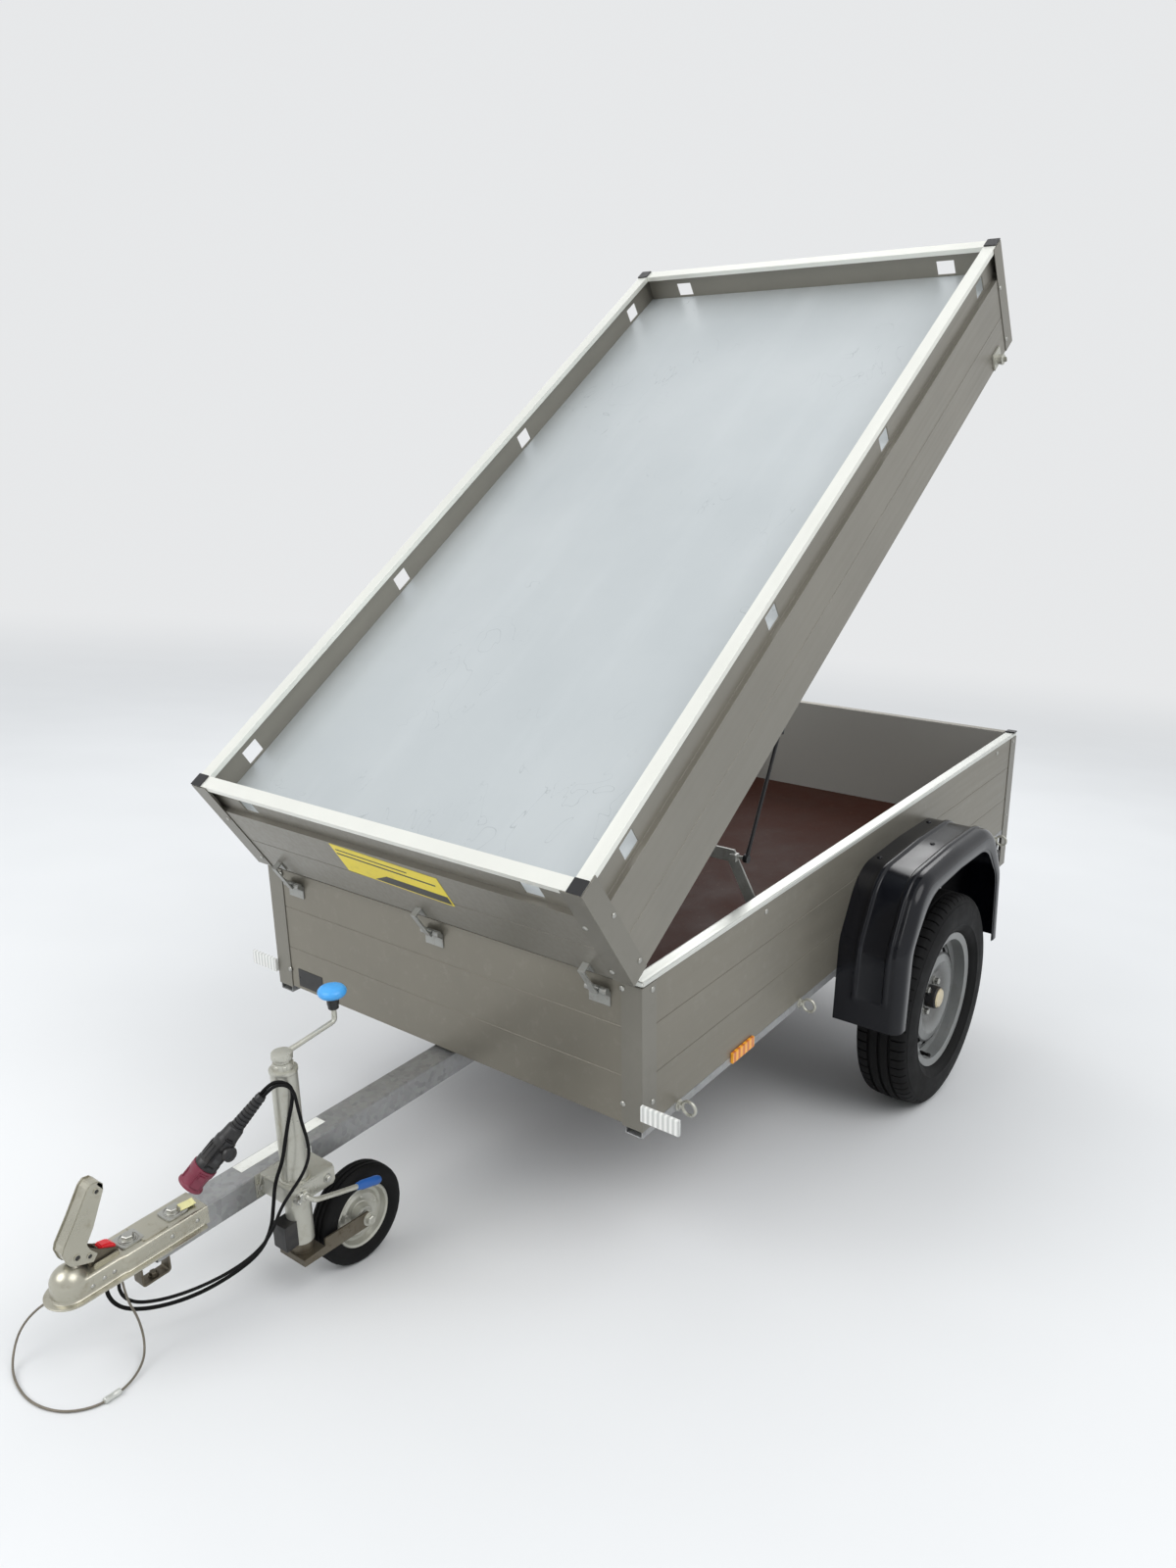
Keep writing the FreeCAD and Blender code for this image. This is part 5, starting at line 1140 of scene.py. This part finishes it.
def jockey():
    axis = Vector((JOCKEY_X, JOCKEY_Y, 0))
    crank_head(axis)
    crank_grips()
    clamp(axis)
    jockey_hub()


CRANK_REACH = 122
# The crank's bar: back from the tube's axis, height
CRANK_ARM = ((8, 727.6), (40, 730.4), (112, 737.8), (118, 738.8), (121, 741.4), (CRANK_REACH, 746),
             (CRANK_REACH, 790))


def crank_head(axis):
    """The capped top of the jockey wheel's tube with its notched collar, and the crank's arm and post."""
    head = bmesh.new()
    spin(head, ((24, 694), (25.2, 695.4), (25.6, 697), (25.6, 700), (24.6, 702), (21.4, 702.8), (18.4, 703),
                (18, 705), (18, 713.5), (17.2, 715), (15.2, 715.6), (15, 717), (15, 719.5), (16.6, 720.6),
                (18.6, 721.2), (19.2, 722.6), (19.2, 730.6), (18.2, 732.4), (13, 733), (0, 733)), axis, UP,
                40)
    for k in range(8):
        side = Matrix.Rotation(math.pi * k / 4 + 0.3, 3, "Z") @ AHEAD
        beside = UP.cross(side)
        low = axis + UP * 705 + side * 16 - beside * 3
        rib(head, low, beside * 6, UP * 7, side * 3.2, 0.6, 1)
    arm = [(JOCKEY_X - back, JOCKEY_Y, z) for back, z in CRANK_ARM]
    sweep(head, arm, 5, 14)
    piece("jockey_crank_look", head, "zinc", "jockey_crank", degrees=34)


def crank_grips():
    """The crank's knob on its black collar, and the clamp lever's grip."""
    post = Vector((JOCKEY_X - CRANK_REACH, JOCKEY_Y, 0))
    collar = bmesh.new()
    spin(collar, ((5.2, 764), (9, 764), (10, 765), (10.2, 772), (11.2, 773), (11.4, 783), (13, 787.5),
                  (17.5, 789.6), (17.5, 790.6), (0, 790.6)), post, UP, 28)
    piece("crank_collar", collar, "black")
    knob = bmesh.new()
    spin(knob, ((0, 788.6), (17.5, 788.8), (22.6, 790.6), (25.6, 794.2), (26.5, 797.6), (25.8, 801.4),
                (22.6, 805.2), (17, 807.8), (9, 809.2), (0, 809.6)), post, UP, 44)
    lever = lever_line()
    tip = lever[-1]
    way = (tip - lever[-2]).normalized()
    capped(knob, ((5.4, -11), (6.6, -10), (7.4, -6), (7.4, -3), (8.6, 0), (8.5, 26), (8.8, 34), (8.2, 40),
                  (6.2, 44.6), (3, 46.2)), tip, way, 24)
    piece("jockey_grips_look", knob, "blue", "jockey_grips", degrees=34)
    sleeve = bmesh.new()
    spin(sleeve, ((5.6, -11.3), (6.9, -10.2), (7.7, -6), (7.7, -3), (8.9, 0), (8.8, 26), (9.1, 34),
                  (8.5, 40), (6.5, 44.7), (3.2, 46.5), (0, 46.7)), tip, way, 24)
    piece("lever_sleeve", sleeve, "grip")
    bar = bmesh.new()
    sweep(bar, lever, 5, 12)
    hexagon(bar, (480, 122, 455), LEFT, 10, 6, washer=13)
    piece("jockey_lever_look", bar, "zinc", "jockey_lever", degrees=34)


def lever_line():
    return rounded_line(((480, 122.3, 455), (480, 130, 455), (468, 138, 444), (414, 138, 427),
                         (362, 140, 413)), 7)


def clamp(axis):
    """The bent plate beside the drawbar round the jockey wheel's tube, open below, with bolts and gusset."""
    bm = bmesh.new()
    slab(bm, rounded_square(456, 76, 50, 46, 6, 474), (0, 0, 3.5), 0.9)
    cheek = ((408, 475), (504, 475), (506, 472), (506, 446), (500, 439.5), (412, 439.5), (406, 446),
             (406, 472))
    for y in (30.2, 118.5):
        slab(bm, [(x, y, z) for x, z in cheek], (0, 3.5, 0), 0.9)
    for x in (406, 502.5):
        brick(bm, (x, 33, 439.5), (x + 3.5, 119, 475), 0.9)
    brick(bm, (426, 30, 429.5), (516, 33.5, 477.5), 0.9)
    spin(bm, ((24.2, 429.5), (27.5, 429.5), (27.5, 476), (28.4, 477.5), (28.4, 479.4), (26.6, 480),
              (24.2, 480)), axis, UP, 40)
    slab(bm, ((506, 31, 476), (506, 40, 476), (516, 31, 440), (514, 31, 432)), (0, 3, 0), 0.4, 1)
    piece("jockey_clamp_look", bm, "zinc", "jockey_clamp", degrees=34)
    bolts = bmesh.new()
    for x in (440, 506):
        hexagon(bolts, (x, 33.5, 435 if x < 500 else 452), LEFT, 6, 5, washer=8)
    for x in (424, 488):
        hexagon(bolts, (x, 122, 458), LEFT, 6.5, 5, washer=8.5)
    coil = [(498 + 5 * math.cos(k * 0.7), 122 + k * 0.3, 455 + 5 * math.sin(k * 0.7)) for k in range(40)]
    sweep(bolts, coil, 1.2, 6)
    piece("clamp_bolts", bolts, "bolt")


def jockey_hub():
    hub = Vector((JOCKEY_WHEEL.x, JOCKEY_Y, JOCKEY_WHEEL.z))
    nuts = bmesh.new()
    for way in (1, -1):
        hexagon(nuts, hub + LEFT * way * 35, LEFT * way, 10, 8, washer=14)
    piece("jockey_axle_nuts", nuts, "zinc", body="jockey_leg")
    disc = bmesh.new()
    for way in (1, -1):
        spin(disc, ((16, way * 24), (18.5, way * 22), (19, way * 10), (26, way * 8), (34, way * 12),
                    (42, way * 12.5), (48, way * 8), (54, way * 8.5), (58, way * 17), (63, way * 20),
                    (65, way * 18), (62, way * 16)), hub, LEFT, 40)
        for k in range(5):
            angle = 2 * math.pi * k / 5 + 0.4
            dome(disc, hub + Vector((38 * math.cos(angle), way * 12, 38 * math.sin(angle))), LEFT * way, 4,
                 2.4, 10)
    piece("jockey_disc", disc, "zinc", body="jockey_wheel", degrees=30)


def rounded_line(corners, radius, steps=6):
    """A line whose corners are eased by short curves."""
    corners = [Vector(corner) for corner in corners]
    points = [corners[0]]
    for before, corner, after in zip(corners, corners[1:], corners[2:]):
        reach = min(radius, (before - corner).length * 0.45, (after - corner).length * 0.45)
        start = corner + (before - corner).normalized() * reach
        end = corner + (after - corner).normalized() * reach
        for k in range(steps + 1):
            share = k / steps
            points.append(start.lerp(corner, share).lerp(corner.lerp(end, share), share))
    points.append(corners[-1])
    return points


# Small parts of the box and the lid

def rings():
    bm = bmesh.new()
    for x in (-127, -638, -1939):
        for way in (1, -1):
            centre = Vector((x, way * (HALF_OUT + 24), FRAME_LOW + 10))
            circle = [centre + (LEFT * math.cos(k * math.pi / 16) + UP * math.sin(k * math.pi / 16)) * 15
                      for k in range(32)]
            sweep(bm, circle, 3.5, 10, closed=True)
            capped(bm, ((5, 0), (5, 8), (4, 10)), Vector((x, way * (HALF_OUT - 1), centre.z)), LEFT * way, 12)
            hexagon(bm, (x, way * HALF_OUT, centre.z), LEFT * way, 8, 5, washer=12)
    piece("lashing_rings_look", bm, "zinc", "lashing_rings", degrees=34)


# Round-headed bolts: body, x, y, z, axis, radius; those off the middle are on both sides
BOLTS = (
    ("chassis", 2, 487, 775, AHEAD, 6), ("chassis", 2, 487, 530, AHEAD, 6),
    ("chassis", -32, 532, 772, LEFT, 6), ("chassis", -32, 532, 534, LEFT, 6),
    ("chassis", -463, 530, 770, LEFT, 6), ("chassis", -2034, 532, 774, LEFT, 5),
    ("chassis", -2034, 532, 530, LEFT, 5), ("chassis", -1893, 530, 770, LEFT, 6),
    ("chassis", -2062, 524, 774, -AHEAD, 4), ("chassis", -2062, 524, 430, -AHEAD, 5),
    ("lid", 2, 495, 972, AHEAD, 5.5), ("lid", 2, 495, 834, AHEAD, 5.5),
    ("lid", -37, 532, 972, LEFT, 5.5), ("lid", -37, 532, 832, LEFT, 5.5),
    ("lid", -2023, 532, 972, LEFT, 5.5), ("lid", -2023, 532, 832, LEFT, 5.5),
    ("lid", -2062, 495, 972, -AHEAD, 5.5), ("lid", -2062, 495, 834, -AHEAD, 5.5))


def bolts():
    for body in ("chassis", "lid"):
        bm = bmesh.new()
        for row_body, x, y, z, axis, radius in BOLTS:
            if row_body != body:
                continue
            for way in (1, -1):
                turned = Vector((axis.x, axis.y * way, axis.z))
                dome(bm, (x, y * way, z), turned, radius, radius * 0.55)
        piece("bolts_" + body, bm, "bolt", body=body, place=LEVEL if body == "chassis" else LID)


def markings():
    """The sticker, the type plate and the drawbar's label, all blank."""
    sticker = bmesh.new()
    centre = Vector((0, -4, 944))
    lean_over = Matrix.Rotation(math.radians(-2.5), 3, "X")
    corners = [centre + lean_over @ Vector((0.2, y, z)) for y,
               z in ((-147, -46), (147, -46), (147, 46), (-147, 46))]
    slab(sticker, corners, (0.5, 0, 0))
    piece("lid_sticker", sticker, "yellow", body="lid", place=LID)
    bands = bmesh.new()
    for outline in (((-143, 12), (128, 12), (128, 17), (-143, 17)),
                    ((-66, -42), (143, -42), (143, -16), (-20, -16)),
                    ((-138, 27), (60, 27), (60, 31), (-138, 31))):
        corners = [centre + lean_over @ Vector((0.75, y, z)) for y, z in outline]
        slab(bands, corners, (0.2, 0, 0))
    piece("sticker_bands", bands, "dark_print", slot="panel_aluminium", body="lid", place=LID)
    plate = bmesh.new()
    brick(plate, (0, -459, 494), (1.2, -375, 539), 0.3, 1)
    for y in (-455, -379):
        dome(plate, (1, y, 516.5), AHEAD, 2.6, 1.2, 10)
    piece("type_plate", plate, "black")
    label = bmesh.new()
    brick(label, (322, -27, 474), (520, 0, 474.4))
    brick(label, (384, 30, 441), (424, 30.4, 467))
    piece("drawbar_label", label, "label")


LOCK_X = -1946


def lid_lock():
    """The catch on the lid's near side at the rear, and its twin on the other side."""
    bm = bmesh.new()
    for way in (1, -1):
        y = way * 532
        inner, outer = sorted((y - way * 2, y + way * 2.4))
        brick(bm, (LOCK_X - 26, inner, 804), (LOCK_X + 24, outer, 846), 1)
        capped(bm, ((15, 0), (15, 3), (12.5, 4.4), (12.5, 12), (13.6, 13), (13.6, 17), (11, 19)),
               (LOCK_X, y, 822), LEFT * way, 24)
        near, far = sorted((y, y + way * 26))
        brick(bm, (LOCK_X - 3, near, 816), (LOCK_X + 3, far, 828), 1.2)
    piece("lid_catches", bm, "zinc", body="lid", place=LID)


LAMP_FACE = -2064
LAMP_LOW = 360
LAMP_HIGH = 446
# Lens fields of a tail lamp: name, from and to along Y, material
LAMP_FIELDS = (
    ("turn", 436, 504, "amber_lens"),
    ("brake", 370, 434, "red_lens"),
    ("clear", 336, 368, "clear_lens"))


def tail_lamps():
    """Two lamps with a black body, three lens fields and a triangular reflector, as such trailers have."""
    body = bmesh.new()
    for low, high in ((299, 507), (-507, -299)):
        brick(body, (-2061.6, low, LAMP_LOW), (-2040, high, LAMP_HIGH), 3)
    piece("tail_lamps_look", body, "black", "tail_lamps")
    for name, low, high, material in LAMP_FIELDS:
        lens = bmesh.new()
        for way in (1, -1):
            y0, y1 = sorted((way * low, way * high))
            brick(lens, (LAMP_FACE, y0, LAMP_LOW + 4), (LAMP_FACE + 6, y1, LAMP_HIGH - 4), 1.6)
            for step in range(5):
                z = LAMP_LOW + 14 + step * 14
                brick(lens, (LAMP_FACE, y0 + 4, z), (LAMP_FACE + 1, y1 - 4, z + 1.6), 0.4, 1)
        piece("tail_lens_" + name, lens, material, slot="red_lens")
    triangle = bmesh.new()
    for way in (1, -1):
        corners = [(LAMP_FACE + 2, way * y, z) for y, z in ((302, 376), (334, 376), (318, 408))]
        slab(triangle, corners, (-2, 0, 0), 0.5)
    piece("tail_triangles", triangle, "red_lens")


# The two points of the safety cable's line that the ferrule lies midway between
FERRULE_BETWEEN = ((838, 92), (894, 98))
FERRULE_LIFT = 2.4
CABLE_LIFT = 3.2


def ferrule():
    """The aluminium sleeve pressed on the safety cable, lying along it on the floor."""
    before, after = [on_floor(x, y, CABLE_LIFT + FERRULE_LIFT) for x, y in FERRULE_BETWEEN]
    bm = bmesh.new()
    capped(bm, ((4.4, -15), (5.2, -14.2), (5.2, -4), (4.9, -3), (4.9, 3), (5.2, 4), (5.2, 14.2), (4.4, 15)),
           (before + after) / 2, after - before, 18)
    piece("cable_ferrule", bm, "rail", slot="zinc_steel")


# Cords

MOUTH = Vector((722, 0, 449))
BOOT_RUN = 21.5
INTO_BOOT = 6
# Corner points as steps from the drawbar's mouth
LOWER_ROUTE = ((0, -10, 0), (46, -10, 0), (80, -8, -37), (66, 0, -86), (16, 14, -116), (-52, 35, -128),
               (-120, 56, -119), (-174, 72, -97), (-195, 82, -54), (-201, 87, -8), (-206, 92, 40),
               (-219, 104, 84), (-225, 110, 126), (-231, 117, 166), (-238.5, 124, 203),
               (-240, 125.5, 230.5), (-226.9, 115.9, 245.6))
UPPER_ROUTE = ((0, 10, 0), (40, 10, 0), (68, 12, -32), (55, 20, -72), (6, 32, -96), (-58, 50, -105),
               (-122, 70, -98), (-166, 85, -78), (-189, 97, -44), (-198, 112, 0), (-212, 130, 36),
               (-232, 142, 66), (-244, 149, 100), (-243, 148, 134), (-239, 143, 166), (-238, 137, 199),
               (-237.7, 132.1, 228.1), (-225.1, 123.3, 243.2))
SAFETY_LOW = 443.7
# The safety cable's points, with a height over the floor where it lies there
SAFETY_START = ((790, 36, SAFETY_LOW), (788, 36, 402), (771, 32, 350))
SAFETY_FLOOR = ((768, 36, 22), (792, 66, 7.2), (838, 92, 3.2), (894, 98, 3.2), (938, 68, 3.2),
                (957, 14, 3.2), (951, -44, 3.2), (932, -92, 8.2))
SAFETY_END = ((903, -112, 344), (874, -92, 380), (852, -58, 404), (847, -38, 424), (846, -36, SAFETY_LOW))


def cord_curve(name, points, radius, node):
    """A cable as one open curve whose control points are the CAD route's corner points."""
    curve = bpy.data.curves.new(name, "CURVE")
    curve.dimensions = "3D"
    curve.bevel_depth = radius * 0.001
    curve.bevel_resolution = 3
    curve.resolution_u = 8
    curve.use_fill_caps = True
    spline = curve.splines.new("NURBS")
    spline.points.add(len(points) - 1)
    for point, corner in zip(spline.points, points):
        point.co = (*(LEVEL @ Vector(corner)), 1)
    spline.order_u = 3
    spline.use_endpoint_u = True
    curve.materials.append(MATERIALS["wire" if node == "safety_cable" else "cable"])
    made = bpy.data.objects.new(name, curve)
    bpy.context.scene.collection.objects.link(made)
    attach(made, "chassis")
    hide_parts(node)
    return made


def cords(plug_piece):
    lower = [MOUTH + Vector(step) for step in LOWER_ROUTE]
    first = PLUG_BOOT - BOOT_SIDE * 4
    lower += [first + PLUG_AXIS * BOOT_RUN, first - PLUG_AXIS * INTO_BOOT]
    upper = [MOUTH + Vector(step) for step in UPPER_ROUTE]
    second = PLUG_BOOT + BOOT_SIDE * 4
    upper += [second + PLUG_AXIS * BOOT_RUN, second - PLUG_AXIS * INTO_BOOT]
    safety = [Vector(point) for point in SAFETY_START]
    safety += [on_floor(*point) for point in SAFETY_FLOOR]
    safety += [Vector(point) for point in SAFETY_END]
    rows = (
        # name, points, radius, node, length in metres, far end, pieces on it
        ("harness_cable_lower_cord", lower, 3.5, "harness_cable_lower", 0.803, "plug", (plug_piece,)),
        ("harness_cable_upper_cord", upper, 3, "harness_cable_upper", 0.754, "plug", (plug_piece,)),
        ("safety_cable_cord", safety, 2, "safety_cable", 0.693, "object", ()),
    )
    for name, points, radius, node, length, far_end, pieces in rows:
        made = cord_curve(name, points, radius, node)


# Stage: colours are linear, places are in metres

BACKDROP = (0.80, 0.81, 0.82)
SKY_TOP = (0.92, 0.96, 1.0)
SKY_SIDE = (0.34, 0.35, 0.33)
SKY_STRENGTH = 0.95
FADE_FROM = 3.5
FADE_TO = 16
FLOOR_DARK = 0.70
FLOOR_LIGHT = 0.75


def stage_floor():
    """A pale floor that fades into the backdrop far out."""
    bm = bmesh.new()
    bmesh.ops.create_grid(bm, x_segments=2, y_segments=2, size=60)
    mesh = bpy.data.meshes.new("stage_floor")
    bm.to_mesh(mesh)
    bm.free()
    material = bpy.data.materials.new("stage_pale")
    tree = empty_tree(material)
    output = new_node(tree, "OutputMaterial")
    diffuse = new_node(tree, "BsdfDiffuse")
    glow = new_node(tree, "Emission", Color=(*BACKDROP, 1))
    mix = new_node(tree, "MixShader")
    coordinates = new_node(tree, "TexCoord")
    away = new_node(tree, "VectorMath")
    away.operation = "LENGTH"
    fade = new_node(tree, "MapRange", From_Min=FADE_FROM, From_Max=FADE_TO)
    fade.interpolation_type = "SMOOTHSTEP"
    noise = new_node(tree, "TexNoise", Scale=1.3)
    shade = new_node(tree, "MapRange", To_Min=FLOOR_DARK, To_Max=FLOOR_LIGHT)
    for output_socket, input_socket in (
            (coordinates.outputs["Object"], noise.inputs["Vector"]),
            (noise.outputs["Fac"], shade.inputs["Value"]),
            (shade.outputs["Result"], diffuse.inputs["Color"]),
            (coordinates.outputs["Object"], away.inputs[0]),
            (away.outputs["Value"], fade.inputs["Value"]), (fade.outputs["Result"], mix.inputs["Fac"]),
            (diffuse.outputs["BSDF"], mix.inputs[1]), (glow.outputs["Emission"], mix.inputs[2]),
            (mix.outputs["Shader"], output.inputs["Surface"])):
        tree.links.new(output_socket, input_socket)
    mesh.materials.append(material)
    floor = bpy.data.objects.new("stage_floor", mesh)
    bpy.context.scene.collection.objects.link(floor)


def sky():
    """An overcast sky, bright overhead; the camera, metal and glass see a plain pale backdrop instead."""
    world = bpy.data.worlds.new("overcast")
    bpy.context.scene.world = world
    tree = empty_tree(world)
    output = new_node(tree, "OutputWorld")
    coordinates = new_node(tree, "TexCoord")
    split = new_node(tree, "SeparateXYZ")
    ramp = new_node(tree, "ValToRGB")
    for element, place, colour in zip(ramp.color_ramp.elements, (0.02, 0.55), (SKY_SIDE, SKY_TOP)):
        element.position = place
        element.color = (*colour, 1)
    light = new_node(tree, "Background", Strength=SKY_STRENGTH)
    plain = new_node(tree, "Background", Color=(*BACKDROP, 1))
    path = new_node(tree, "LightPath")
    seen = path.outputs["Is Camera Ray"]
    for ray in ("Is Glossy Ray", "Is Transmission Ray"):
        either = new_node(tree, "Math")
        either.operation = "MAXIMUM"
        tree.links.new(seen, either.inputs[0])
        tree.links.new(path.outputs[ray], either.inputs[1])
        seen = either.outputs["Value"]
    mix = new_node(tree, "MixShader")
    for output_socket, input_socket in (
            (coordinates.outputs["Generated"], split.inputs[0]), (split.outputs["Z"], ramp.inputs["Fac"]),
            (ramp.outputs["Color"], light.inputs["Color"]), (seen, mix.inputs["Fac"]),
            (light.outputs["Background"], mix.inputs[1]), (plain.outputs["Background"], mix.inputs[2]),
            (mix.outputs["Shader"], output.inputs["Surface"])):
        tree.links.new(output_socket, input_socket)


# Soft lights: name, place, aim, size, power
LIGHTS = (
    ("key", (1.2, 3.8, 5.2), (-0.2, 0, 0.6), 4.5, 130),
    ("front", (5, -1.5, 4), (0.3, 0, 0.6), 4, 130),
    ("back", (-4.5, -2.5, 5), (-0.4, 0, 0.8), 4, 110),
)


def lights():
    for name, place, aim, size, power in LIGHTS:
        lamp = bpy.data.lights.new(name, "AREA")
        lamp.shape = "DISK"
        lamp.size = size
        lamp.energy = power
        made = bpy.data.objects.new(name, lamp)
        made.location = place
        made.rotation_euler = (Vector(aim) - Vector(place)).to_track_quat("-Z", "Y").to_euler()
        bpy.context.scene.collection.objects.link(made)


def camera():
    data = bpy.data.cameras.new("camera")
    data.lens = LENS
    data.sensor_width = 36
    data.clip_end = 200
    made = bpy.data.objects.new("camera", data)
    axes = Matrix((CAMERA_RIGHT, CAMERA_UP, CAMERA_BACK)).transposed().to_4x4()
    turn = (LEVEL.to_3x3() * 1000).to_4x4() @ axes
    made.matrix_world = Matrix.Translation(LEVEL @ Vector(CAMERA_PLACE)) @ turn
    bpy.context.scene.collection.objects.link(made)
    bpy.context.scene.camera = made


camera()
sky()
stage_floor()
lights()
bpy.context.scene.view_settings.view_transform = "Standard"
for row in SOFTENED:
    soften(*row)
tyres()
mudguard("left", 1)
mudguard("right", -1)
coupling()
handle()
jockey()
rings()
bolts()
markings()
lid_lock()
tail_lamps()
ferrule()
cords(plug())
